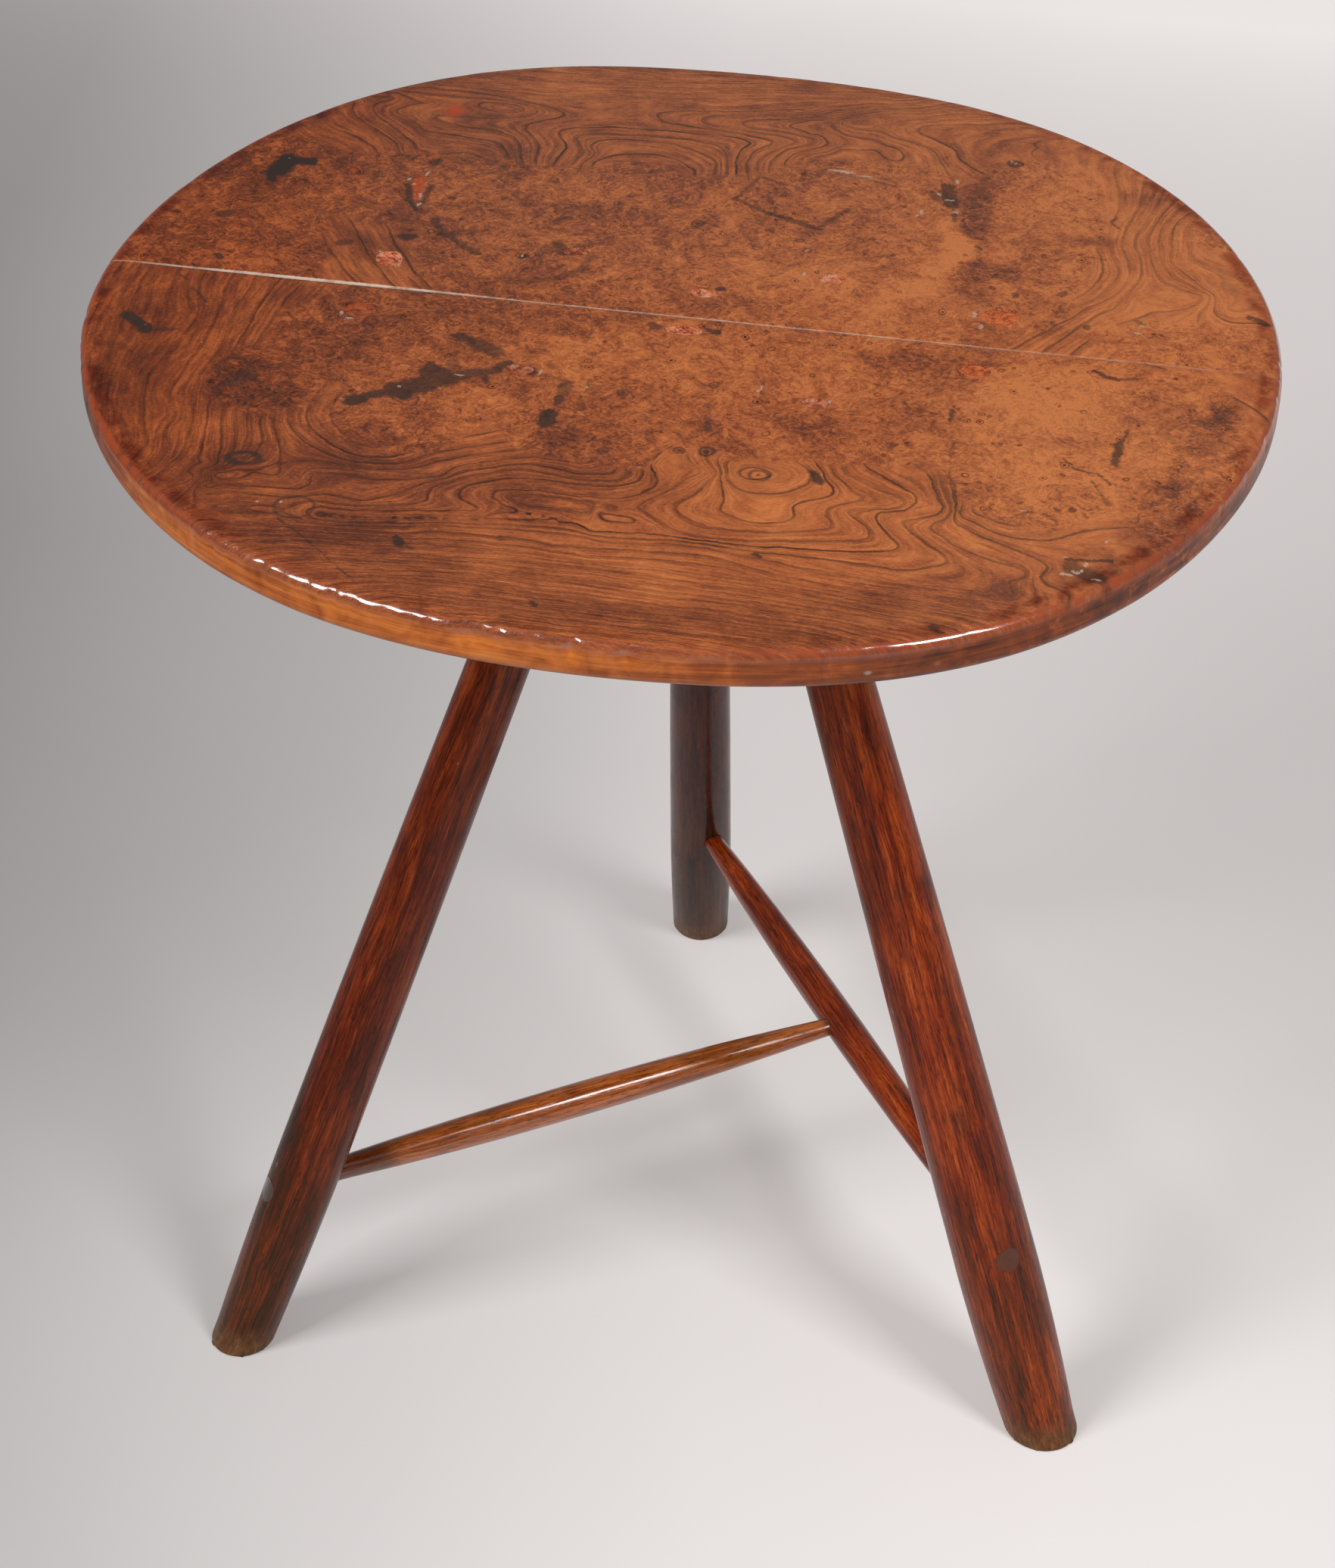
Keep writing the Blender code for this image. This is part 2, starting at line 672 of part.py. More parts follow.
def build_fastenings(boards, block):
    """The sunk screws, the fillers over their heads, and the holes in the boards and the block."""
    for number, (name, place) in enumerate(filler_places().items()):
        x, y, length, width = place
        board = boards["rear" if y > JOINT_OFFSET else "front"]
        plug = oval_plug(x, y, length, width, SCREW_TOP + FIT_GAP, TABLE_HEIGHT - FIT_GAP)
        bmesh_object(f"filler_{name}", plug, FILLER_WAX, smooth=True)
        wide, deep = length + 2 * FIT_GAP, width + 2 * FIT_GAP
        hole = oval_plug(x, y, wide, deep, SCREW_TOP, TABLE_HEIGHT + SAW_OVERRUN)
        cut(board, bmesh_object(f"filler_hole_{name}", hole))

        turn = Matrix.Rotation(math.radians(SCREW_SLOT_TURN * number), 4, "Z")
        placement = Matrix.Translation((x, y, SCREW_TOP)) @ turn
        build_screw(name, placement)
        bore = turned_object(
            f"screw_hole_{name}", screw_profile(FIT_GAP), SCREW_SIDES, placement=placement
        )
        cut(board, bore)
        cut(block, bore)


def centre_table():
    """Moves the whole table so that the origin is under the middle of its extents."""
    graph = bpy.context.evaluated_depsgraph_get()
    corners = []
    for obj in PARTS.objects:
        if obj.type == "MESH":
            solid = obj.evaluated_get(graph)
            corners += [solid.matrix_world @ vert.co for vert in solid.to_mesh().vertices]
    for axis in (0, 1):
        values = [corner[axis] for corner in corners]
        ROOT.location[axis] = -(min(values) + max(values)) / 2


def main():
    reach = TOP_LENGTH + TABLE_HEIGHT
    floor_saw = box_cutter("floor_saw", (-reach, -reach, -reach), (reach, reach, 0.0))
    block_saw = box_cutter("block_saw", (-reach, -reach, BLOCK_TOP), (reach, reach, reach))
    boards = {
        "front": build_board("top_board_front", rear=False),
        "rear": build_board("top_board_rear", rear=True),
    }
    block = build_block()
    leg_objects = {}
    for leg in LEGS:
        leg_object = build_leg(leg)
        leg_objects[leg.name] = leg_object
        cut(leg_object, floor_saw)
        build_wedge(leg, leg_object, block_saw)
        bore_socket(block, leg)
    build_stretchers(leg_objects)
    build_fastenings(boards, block)
    bpy.context.view_layer.update()
    centre_table()


main()
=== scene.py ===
"""Looks of the cricket table: burr elm top, shaved legs, T of stretchers and the studio it stands in."""

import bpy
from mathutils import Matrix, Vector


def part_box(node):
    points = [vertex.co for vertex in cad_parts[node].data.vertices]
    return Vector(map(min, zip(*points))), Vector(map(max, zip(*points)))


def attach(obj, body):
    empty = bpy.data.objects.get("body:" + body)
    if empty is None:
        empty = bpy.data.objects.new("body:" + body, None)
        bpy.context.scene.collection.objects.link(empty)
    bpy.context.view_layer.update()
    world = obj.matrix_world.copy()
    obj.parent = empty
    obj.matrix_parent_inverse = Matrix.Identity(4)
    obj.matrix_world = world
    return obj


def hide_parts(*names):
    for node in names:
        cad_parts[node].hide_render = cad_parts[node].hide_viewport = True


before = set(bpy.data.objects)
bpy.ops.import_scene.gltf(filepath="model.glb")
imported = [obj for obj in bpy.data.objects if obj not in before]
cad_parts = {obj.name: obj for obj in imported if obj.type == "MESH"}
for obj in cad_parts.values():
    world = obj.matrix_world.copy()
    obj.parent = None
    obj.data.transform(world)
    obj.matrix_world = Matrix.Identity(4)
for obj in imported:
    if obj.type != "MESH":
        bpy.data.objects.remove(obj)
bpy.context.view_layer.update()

import functools
import math
from collections import namedtuple

import bmesh
import bpy
import numpy as np
from mathutils import Matrix, Vector, noise
from mathutils.bvhtree import BVHTree

bl_info = {
    "name": "Cricket table",
    "version": (1, 0, 0),
    "blender": (4, 5, 0),
    "location": "3D View > Sidebar > Cricket table",
    "description": "Dresses the cricket table's frame with worn burr elm and sets its studio",
    "category": "Object",
}

MM = 0.001
ROOT = "root"
SEED = 17

# Places in the frame that everything else is set from
TOP_FRONT_LOW, TOP_FRONT_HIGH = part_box("top_board_front")
TOP_REAR_LOW, TOP_REAR_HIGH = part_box("top_board_rear")
TOP_Z = TOP_FRONT_HIGH.z
TOP_THICKNESS = TOP_FRONT_HIGH.z - TOP_FRONT_LOW.z
TOP_MIDDLE = Vector((
    (min(TOP_FRONT_LOW.x, TOP_REAR_LOW.x) + max(TOP_FRONT_HIGH.x, TOP_REAR_HIGH.x)) / 2,
    (TOP_FRONT_LOW.y + TOP_REAR_HIGH.y) / 2,
    TOP_Z,
))
JOINT_Y = (TOP_FRONT_HIGH.y + TOP_REAR_LOW.y) / 2
FILLERS = (
    "left_rear", "left_front", "mid_left_rear", "mid_left_front", "mid_right_rear",
    "mid_right_front", "right_rear", "right_front", "centre_rear", "centre_front",
)
LEGS = ("left", "right", "back")
STRETCHERS = ("long", "short")

# Sizes of the worn top
UPPER_ROUND = 5.5 * MM
LOWER_ROUND = 7.0 * MM
EDGE_TUCK = 0.12 * MM
OUTLINE_WAVES = 12
JOINT_DIP = 0.45 * MM
JOINT_DIP_REACH = 1.3 * MM
EDGE_FALL = 0.55 * MM
EDGE_FALL_REACH = 9.0 * MM
HOLE_EASE = 0.15 * MM
UNDERSIDE_RINGS = (0.86, 0.62, 0.34)
DENT_COUNT = 120

# Sizes of the round members
STICK_SIDES = 64
STATION_STEP = 5.0 * MM
FLAT_WANDER = 0.30 * MM
FOOT_WEAR = 1.6 * MM
MORTISE_EASE = 0.08 * MM
RAY_START = 60.0 * MM
PARE_REACH = 25.0 * MM
PARE_SEARCH = 14.0 * MM
PARE_INSET = 0.15 * MM
LEG_OVERRUN = 20.0 * MM
BORE_RUN_OUT = 30.0 * MM
BORE_DEPTH = 58.0 * MM
BORE_GAUGE = 4.0 * MM
SHARP = math.radians(35.0)

# How the growth rings are laid, in millimetres
RING_STEP = 6.0
RING_EASE = 0.0008
BURR_BLEND = 5.0

# Where the photographer stood
CAMERA_PLACE = Vector((0.23692, -1.51397, 1.57602))
CAMERA_AIM = Vector((0.00385, -0.05180, 0.38533))
CAMERA_ROLL = math.radians(1.025)
CAMERA_LENS = 78.19
SENSOR = 36.0

# The two soft lamps: place, width, and share of the key strength
LAMPS = (
    ("left_key", (-1.75, -1.50, 2.45), 1.2, 1.34),
    ("right_key", (1.35, -1.05, 2.20), 0.66, 0.66),
)
LAMP_AIM = Vector((0.0, 0.0, 0.45))
WORLD_TINT = (1.0, 0.99, 0.98, 1.0)

Figure = namedtuple("Figure", "lobes rings strokes clouds loops flecks")
Member = namedtuple("Member", "foot along length radius_at")


class Wire:
    """One socket's value in a shader tree, so that sums are written as they are read."""

    def __init__(self, recipe, socket):
        self.recipe = recipe
        self.socket = socket

    def __add__(self, other):
        return self.recipe.maths("ADD", self, other)

    def __radd__(self, other):
        return self.recipe.maths("ADD", other, self)

    def __sub__(self, other):
        return self.recipe.maths("SUBTRACT", self, other)

    def __rsub__(self, other):
        return self.recipe.maths("SUBTRACT", other, self)

    def __mul__(self, other):
        return self.recipe.maths("MULTIPLY", self, other)

    def __rmul__(self, other):
        return self.recipe.maths("MULTIPLY", other, self)

    def __truediv__(self, other):
        return self.recipe.maths("DIVIDE", self, other)

    def __rtruediv__(self, other):
        return self.recipe.maths("DIVIDE", other, self)

    def __abs__(self):
        return self.recipe.maths("ABSOLUTE", self)


class Recipe:
    """Writes shader nodes, in the order that they are worked out, into one tree."""

    def __init__(self, tree):
        self.tree = tree

    def feed(self, socket, value):
        if isinstance(value, Wire):
            self.tree.links.new(value.socket, socket)
        elif hasattr(value, "__len__") and socket.type == "RGBA" and len(value) == 3:
            socket.default_value = (*value, 1.0)
        else:
            socket.default_value = value

    def node(self, kind, settings=None, inputs=None):
        made = self.tree.nodes.new("ShaderNode" + kind)
        for name, value in (settings or {}).items():
            setattr(made, name, value)
        for name, value in (inputs or {}).items():
            self.feed(made.inputs[name], value)
        return made

    def wire(self, node, output=0):
        return Wire(self, node.outputs[output])

    def maths(self, operation, *values):
        return self.wire(self.node("Math", {"operation": operation}, dict(enumerate(values))))

    def most(self, first, *others):
        for other in others:
            first = self.maths("MAXIMUM", first, other)
        return first

    def vector(self, operation, *values):
        made = self.node("VectorMath", {"operation": operation}, dict(enumerate(values)))
        scalar = operation in ("DOT_PRODUCT", "LENGTH", "DISTANCE")
        return self.wire(made, "Value" if scalar else "Vector")

    def scaled(self, vector, factor):
        made = self.node("VectorMath", {"operation": "SCALE"}, {0: vector, "Scale": factor})
        return self.wire(made, "Vector")

    def here(self):
        """The place on the piece, in metres."""
        return self.wire(self.node("TexCoord"), "Object")

    def here_mm(self):
        """The place on the piece, in millimetres."""
        return self.scaled(self.here(), 1.0 / MM)

    def split(self, vector):
        made = self.node("SeparateXYZ", None, {0: vector})
        return [self.wire(made, axis) for axis in "XYZ"]

    def join(self, x, y, z):
        return self.wire(self.node("CombineXYZ", None, {0: x, 1: y, 2: z}))

    def ease(self, value, low, high, to_low=0.0, to_high=1.0, way="SMOOTHSTEP"):
        made = self.node(
            "MapRange", {"interpolation_type": way, "clamp": True},
            {"Value": value, "From Min": low, "From Max": high, "To Min": to_low, "To Max": to_high},
        )
        return self.wire(made, "Result")

    def ramp_line(self, value, low, high, to_low=0.0, to_high=1.0):
        return self.ease(value, low, high, to_low, to_high, "LINEAR")

    def noise(self, vector, scale, detail=2.0, roughness=0.5, distortion=0.0, colour=False):
        made = self.node(
            "TexNoise", {"noise_dimensions": "3D", "normalize": True},
            {"Vector": vector, "Scale": scale, "Detail": detail, "Roughness": roughness,
             "Distortion": distortion},
        )
        return self.wire(made, "Color" if colour else "Fac")

    def stretched(self, vector, sizes, place=(0.0, 0.0, 0.0), turn=(0.0, 0.0, 0.0)):
        made = self.node(
            "Mapping", {"vector_type": "TEXTURE"},
            {"Vector": vector, "Location": place, "Rotation": turn, "Scale": sizes},
        )
        return self.wire(made)

    def blend(self, factor, first, second, mode="MIX"):
        made = self.node(
            "Mix", {"data_type": "RGBA", "blend_type": mode, "clamp_factor": True},
            {0: factor, 6: first, 7: second},
        )
        return self.wire(made, 2)

    def tinted(self, factor, colour, tint):
        return self.blend(factor, colour, tint, "MULTIPLY")

    def mixed(self, factor, first, second):
        made = self.node("Mix", {"data_type": "FLOAT", "clamp_factor": True},
                         {0: factor, 2: first, 3: second})
        return self.wire(made, 0)

    def cells(self, vector, size):
        """Scattered cells: the distance to the nearest one's heart, and its three chances."""
        made = self.node("TexVoronoi", {"voronoi_dimensions": "3D", "feature": "F1"},
                         {"Vector": vector, "Scale": 1.0 / size, "Randomness": 1.0})
        return self.wire(made, "Distance"), self.split(self.wire(made, "Color"))

    def stored(self, name):
        made = self.node("Attribute", {"attribute_type": "GEOMETRY", "attribute_name": name})
        return self.wire(made, "Fac")

    def colours(self, value, stops):
        made = self.node("ValToRGB", None, {0: value})
        points = made.color_ramp.elements
        while len(points) < len(stops):
            points.new(1.0)
        for point, (place, colour) in zip(points, stops):
            point.position = place
            point.color = (*colour, 1.0)
        return self.wire(made, "Color")

    def apply(self, group, output=0, **inputs):
        made = self.tree.nodes.new("ShaderNodeGroup")
        made.node_tree = group
        for name, value in inputs.items():
            self.feed(made.inputs[name.replace("_", " ")], value)
        return self.wire(made, output)


VECTORS = ("Vector", "Start", "Along", "Middle", "Reach")


def make_group(title, inputs, output, body):
    """A shader node group with named inputs and one output; body writes its nodes."""
    tree = bpy.data.node_groups.new(title, "ShaderNodeTree")
    recipe = Recipe(tree)
    titles = [name.replace("_", " ") for name in inputs.split()]
    for way, names in (("INPUT", titles), ("OUTPUT", [output])):
        for name in names:
            kind = "NodeSocketVector" if name in VECTORS else "NodeSocketFloat"
            tree.interface.new_socket(name=name, in_out=way, socket_type=kind)
    source = tree.nodes.new("NodeGroupInput")
    result = body(recipe, *[recipe.wire(source, name) for name in titles])
    recipe.feed(tree.nodes.new("NodeGroupOutput").inputs[output], result)
    return tree


def wander_body(r, vector, size, amount):
    """Moves a place about, the way grain wanders."""
    swirl = r.noise(vector, 1.0 / size, 1.0, 0.5, colour=True)
    centred = r.vector("SUBTRACT", swirl, (0.5, 0.5, 0.5))
    return r.vector("ADD", vector, r.scaled(centred, amount))


def stroke_body(r, vector, start, along, half_width, softness, ragged):
    """A soft-edged stroke from start, as long as along."""
    offset = r.vector("SUBTRACT", vector, start)
    share = r.vector("DOT_PRODUCT", offset, along) / r.vector("DOT_PRODUCT", along, along)
    held = r.maths("MINIMUM", r.most(share, 0.0), 1.0)
    nearest = r.vector("SUBTRACT", offset, r.scaled(along, held))
    distance = r.vector("LENGTH", nearest) + ragged
    return r.ease(distance, half_width + softness, half_width - softness)


def cloud_body(r, vector, middle, reach):
    """A soft patch: one in the middle, nothing at its reach."""
    return r.ease(r.vector("LENGTH", r.stretched(vector, reach, middle)), 1.0, 0.0)


def loop_body(r, vector, middle, radius, width, heart, squash):
    """A drawn ring about a knot, and the knot's own dark heart."""
    offset = r.vector("MULTIPLY", r.vector("SUBTRACT", vector, middle), r.join(1.0, squash, 1.0))
    distance = r.vector("LENGTH", offset)
    line = r.ease(abs(distance - radius), width, width * 0.2) * 0.85
    core = r.ease(distance, heart, heart * 0.3) * r.ease(radius, 6.0, 4.0, 0.55, 1.0)
    return r.most(line, core)


def ring_lines_body(r, level, pace, width):
    """Growth rings at whole levels: a sharp late-wood edge that fades into the early wood."""
    shifted = level + 0.5
    number = r.maths("FLOOR", shifted)
    off = (r.maths("FRACT", shifted) - 0.5) / r.most(pace, 0.01)
    fate = r.wire(r.node("TexWhiteNoise", {"noise_dimensions": "1D"}, {"W": number}), "Value")
    rise = r.ramp_line(off, width * -0.5, width * -0.1)
    fall = r.ramp_line(off, width * r.mixed(fate, 0.7, 1.6), width * 0.3)
    line = r.maths("MINIMUM", rise, fall) * r.mixed(fate, 1.0, 0.60)
    shade = r.maths("MINIMUM", rise, r.ramp_line(off, width * 3.5, 0.0)) * 0.30
    return r.most(line, shade)


def streaks_body(r, vector, across, length):
    """Fibres drawn out along z."""
    return r.noise(r.stretched(vector, r.join(across, across, length)), 1.0, 3.0, 0.6)


def pips_body(r, vector, size, share):
    """Burr pips: a dark heart in a fine ring, some larger than others."""
    distance, fate = r.cells(vector, size)
    girth = r.mixed(fate[0], 0.10, 0.30)
    heart = r.ease(distance, girth * 0.6, girth * 0.25)
    ring = r.ease(abs(distance - girth), 0.075, 0.0) * 0.75
    return r.most(heart, ring) * r.ease(fate[1], share, share - 0.04)


def pores_body(r, vector, across, length):
    """Short dark pores drawn out along z."""
    distance = r.cells(r.stretched(vector, r.join(across, across, length)), 1.0)[0]
    return r.ease(distance, 0.32, 0.12)


def specks_body(r, vector, size, share):
    """Scattered small specks, such as dust, nicks and wax crumbs."""
    distance, fate = r.cells(vector, size)
    spot = r.ease(distance, r.mixed(fate[1], 0.10, 0.26), 0.04)
    return spot * r.ease(fate[0], share, share - 0.02)


EFFECTS = (
    ("wander", "Grain wander", "Vector Size Amount", "Vector", wander_body),
    ("stroke", "Stroke", "Vector Start Along Half_Width Softness Ragged", "Mask", stroke_body),
    ("cloud", "Cloud", "Vector Middle Reach", "Mask", cloud_body),
    ("loop", "Knot loop", "Vector Middle Radius Width Heart Squash", "Mask", loop_body),
    ("rings", "Ring lines", "Level Pace Width", "Mask", ring_lines_body),
    ("streaks", "Fibre streaks", "Vector Across Length", "Value", streaks_body),
    ("pips", "Burr pips", "Vector Size Share", "Mask", pips_body),
    ("pores", "Pores", "Vector Across Length", "Mask", pores_body),
    ("specks", "Specks", "Vector Size Share", "Mask", specks_body),
)


@functools.cache
def effects():
    """The effects that several finishes share, by name."""
    return {name: make_group(*row) for name, *row in EFFECTS}


# Figure of the two boards, in millimetres from the frame's origin: x to the right, y to the back leg.
# lobes of the burr and pale flecks: middle, reach each way. clouds: the same, then how much paler.
# rings: level, then places along the ring. strokes: start, end, half width, depth of colour.
# loops about knots: middle, radius, width of line, depth of colour, and how much wider than deep.
FRONT_FIGURE = Figure(
    lobes=(
        (30, -50, 235, 84), (-118, -120, 40, 42), (-42, -125, 25, 28), (-8, -136, 16, 17),
        (193, -124, 42, 44), (262, -90, 34, 84), (-196, -106, 32, 34),
    ),
    rings=(
        (0, (44, -140), (46, -150), (52, -158), (64, -161), (76, -157), (84, -149), (86, -140), (80, -132),
         (64, -128), (50, -131)),
        (1, (43, -148), (45, -160), (48, -169), (47, -178), (54, -183), (66, -185), (78, -183), (82, -176),
         (81, -168), (87, -162), (96, -157), (98, -150), (92, -142)),
        (2, (40, -146), (37, -156), (34, -167), (28, -175), (27, -183), (34, -189), (48, -193), (62, -193),
         (76, -191), (90, -188), (99, -185), (101, -179), (97, -172), (99, -165), (106, -161), (112, -157),
         (106, -150), (99, -141)),
        (3, (33, -147), (27, -156), (22, -165), (14, -174), (9, -184), (16, -190), (25, -197), (34, -201),
         (48, -202), (64, -201), (80, -198), (96, -195), (110, -192), (120, -187), (117, -179),
         (109, -172), (108, -167), (118, -164), (130, -161), (133, -156), (124, -149), (112, -143),
         (102, -136)),
        (3, (-54, -187), (-45, -183), (-25, -183), (-8, -184), (-4, -188), (-14, -191), (-35, -192),
         (-48, -191), (-54, -187)),
        (4, (8, -147), (12, -156), (13, -164), (7, -173), (-3, -178), (-20, -180), (-38, -179),
         (-54, -181), (-63, -186), (-57, -192), (-42, -197), (-28, -199), (-22, -202), (-40, -204),
         (-60, -207), (-80, -211), (-110, -216), (-140, -219)),
        (4, (-10, -190), (8, -193), (18, -199), (24, -204), (8, -206), (-10, -207)),
        (4, (92, -203), (114, -200), (130, -197), (134, -192), (129, -184), (123, -176), (121, -170),
         (123, -165), (136, -159), (138, -153), (132, -145)),
        (5, (4, -148), (5, -160), (-5, -167), (-20, -170), (-40, -169), (-58, -172), (-74, -180),
         (-78, -186), (-75, -193), (-66, -201), (-90, -206), (-110, -210), (-135, -213)),
        (5, (144, -134), (148, -145), (151, -155), (149, -163), (140, -168), (133, -172), (136, -177),
         (143, -184), (152, -192), (158, -199), (152, -205), (140, -211)),
        (6, (-5, -163), (-25, -166), (-42, -163), (-58, -164), (-70, -170), (-85, -180), (-92, -188),
         (-92, -196), (-100, -203), (-120, -207)),
        (6, (148, -135), (152, -148), (155, -160), (150, -168), (147, -174), (153, -180), (165, -190),
         (178, -196), (190, -199), (196, -204), (188, -210), (190, -217)),
        (7, (-60, -160), (-75, -167), (-90, -178), (-101, -187), (-110, -196), (-122, -203)),
        (7, (158, -166), (170, -176), (185, -183), (198, -190), (205, -197), (202, -205), (208, -212),
         (217, -218)),
        (8, (160, -160), (173, -170), (188, -175), (204, -174), (218, -165)),
        (8, (-90, -176), (-110, -183), (-125, -184), (-140, -183), (-151, -186), (-150, -193),
         (-153, -198), (-162, -200), (-180, -201), (-200, -204)),
        (9, (-95, -164), (-105, -171), (-118, -175), (-135, -175), (-152, -174), (-164, -177),
         (-168, -183), (-169, -190), (-180, -190), (-190, -189), (-198, -194)),
        (10, (-108, -166), (-118, -170), (-135, -171), (-150, -166), (-163, -158), (-172, -148),
         (-176, -138)),
        (5, (-205, -155), (-201, -172), (-200, -188), (-202, -199), (-207, -212)),
        (4, (-213, -156), (-210, -172), (-210, -188), (-214, -202), (-219, -212)),
        (3, (-221, -158), (-219, -172), (-220, -185), (-224, -197), (-230, -205)),
        (2, (-238, -36), (-236, -75), (-240, -116), (-238, -132), (-231, -146), (-232, -164), (-228, -180),
         (-229, -192), (-236, -200)),
        (1, (-252, -30), (-246, -55), (-250, -85), (-254, -112), (-251, -128), (-247, -146), (-242, -160),
         (-238, -176), (-242, -190)),
        (0, (-268, -26), (-262, -60), (-266, -95), (-266, -125), (-260, -150), (-250, -172)),
        (-1, (-284, -30), (-282, -65), (-280, -95), (-276, -125), (-268, -152)),
        (6, (-200, -222), (-190, -219), (-175, -218), (-163, -216), (-140, -224), (-110, -222),
         (-80, -216), (-50, -213), (-20, -212), (0, -214), (20, -212), (40, -210), (60, -213), (80, -216),
         (100, -219), (120, -222), (140, -224), (165, -226), (190, -227)),
        (7, (-190, -232), (-150, -230), (-110, -227), (-80, -222), (-50, -220), (-20, -222), (0, -220),
         (20, -219), (40, -217), (60, -220), (80, -226), (100, -229), (130, -232), (165, -236)),
        (9, (-150, -238), (-110, -235), (-60, -230), (-30, -230), (0, -231), (20, -229), (50, -230),
         (70, -232), (100, -236), (130, -240), (170, -245)),
        (11, (-140, -246), (-110, -243), (-60, -239), (-20, -238), (0, -238), (30, -239), (60, -241),
         (80, -242), (100, -244), (130, -248), (160, -252)),
        (15, (-110, -257), (-60, -253), (-30, -255), (0, -255), (30, -257), (60, -256), (100, -259)),
        (20, (-90, -272), (-40, -272), (0, -273), (50, -273), (100, -275)),
    ),
    strokes=(
        (-149, -117, -145, -115, 4.8, 0.89), (-145, -114, -132, -106, 3.6, 0.84),
        (-129, -104, -108, -89, 7.6, 0.80), (-128, -104, -125, -106, 6.0, 0.88),
        (-116, -82, -107, -88, 6.6, 0.80), (-107, -72, -104, -80, 3.0, 0.50),
        (-108, -89, -85, -76, 4.2, 0.74), (-85, -75, -79, -67, 2.8, 0.78),
        (-109, -47, -101, -51, 3.6, 0.80), (-100, -52, -88, -59, 4.8, 0.66),
        (-67, -72, -66, -76, 2.6, 0.88), (-88, -83, -86, -88, 1.8, 0.70), (-60, -76, -44, -80, 1.6, 0.40),
        (-281, -60, -268, -71, 4.2, 0.92), (-268, -71, -252, -68, 1.6, 0.60),
        (-265, -15, -245, -40, 0.9, 0.60), (-49, -111, -49, -120, 4.7, 0.86),
        (-46, -84, -47, -98, 3.0, 0.56), (-47, -95, -47, -99, 3.0, 0.78), (-36, -75, -38, -128, 0.8, 0.45),
        (234, -71, 233, -83, 1.1, 0.66), (232, -85, 230, -104, 2.2, 0.74), (214, -19, 220, -24, 1.5, 0.80),
        (220, -24, 227, -25, 1.7, 0.75), (227, -25, 238, -22, 1.1, 0.65),
        (205, -102, 210, -110, 0.7, 0.65), (210, -110, 222, -114, 0.9, 0.70),
        (222, -114, 229, -121, 0.8, 0.65), (220, -120, 229, -137, 0.8, 0.55),
        (228, -135, 230, -139, 1.4, 0.50), (213, -188, 234, -186, 1.3, 0.74),
        (205, -147, 206, -148, 1.4, 0.60), (212, -146, 213, -147, 1.4, 0.55),
        (193, -152, 194, -152, 1.4, 0.55), (200, -153, 201, -154, 1.6, 0.55),
        (187, -145, 188, -145, 1.2, 0.55), (198, -142, 199, -142, 1.1, 0.50),
        (219, -151, 220, -152, 1.2, 0.50), (-157, -225, -110, -268, 0.5, 0.65),
        (147, -70, 147, -80, 1.2, 0.70), (123, -66, 125, -71, 1.0, 0.60), (86, -138, 90, -145, 2.8, 0.80),
        (157, -253, 160, -257, 2.2, 0.70), (-99, -230, -97, -235, 2.2, 0.90),
        (-104, -217, -106, -217, 1.6, 0.60), (-93, -236, -90, -237, 1.4, 0.55),
        (-26, -269, -24, -271, 1.4, 0.80), (69, -211, 72, -213, 1.3, 0.80),
        (28, -100, 31, -110, 2.2, 0.55), (-210, -111, -206, -104, 6.0, 0.45),
        (216, -193, 226, -199, 5.0, 0.66), (228, -198, 233, -204, 3.0, 0.74),
        (152, -95, 150, -118, 0.7, 0.45), (150, -118, 160, -160, 0.7, 0.40), (16, -17, 20, -18, 2.4, 0.80),
        (-14, -16, -11, -19, 2.6, 0.70),
    ),
    clouds=(
        (-206, -112, 40, 34, -0.16), (-262, -110, 50, 110, -0.16), (-178, -122, 18, 14, -0.14),
        (-60, -180, 80, 34, -0.12), (-62, -60, 60, 50, 0.14), (-60, -245, 60, 20, -0.02),
        (-160, -180, 60, 34, -0.26), (279, -47, 13, 16, -0.50), (268, -68, 18, 26, -0.26),
        (256, -119, 18, 10, -0.34), (262, -150, 30, 44, -0.30), (196, -222, 54, 22, -0.26),
        (-58, -30, 16, 12, -0.16), (-100, -125, 56, 34, 0.12), (198, -54, 46, 36, 0.34),
        (196, -112, 60, 54, 0.20), (62, -160, 44, 44, 0.12), (10, -62, 110, 50, 0.14),
        (-234, -120, 14, 50, 0.16), (120, -24, 40, 16, -0.14), (60, -204, 120, 22, 0.10),
        (224, -194, 26, 22, -0.34), (-130, -232, 70, 24, -0.22), (0, -240, 150, 26, 0.08),
        (150, -240, 50, 30, -0.24), (80, -90, 28, 24, -0.18), (152, -140, 34, 26, -0.16),
        (-150, -38, 40, 26, -0.16), (-130, -88, 34, 22, 0.14), (60, -270, 140, 12, -0.20),
    ),
    loops=(
        (61, -145, 4.8, 1.9, 0.72, 1.5), (33, -129, 3.4, 1.6, 0.85), (19, -131, 2.6, 1.2, 0.75),
        (-17, -138, 2.2, 1.1, 0.60), (-17, -84, 2.6, 1.2, 0.60), (27, -69, 2.4, 1.1, 0.60),
        (27, -90, 2.2, 1.1, 0.55), (-187, -178, 8.2, 4.6, 0.95, 1.7), (-153, -214, 9.5, 1.6, 0.65),
        (-215, -99, 7.5, 2.2, 0.50, 0.8), (120, -107, 2.0, 1.0, 0.50),
    ),
    flecks=(
        (50, -68, 1.0, 6.0), (-36, -83, 1.6, 2.4), (-168, -41, 3.0, 1.6), (218, -196, 2.6, 1.4),
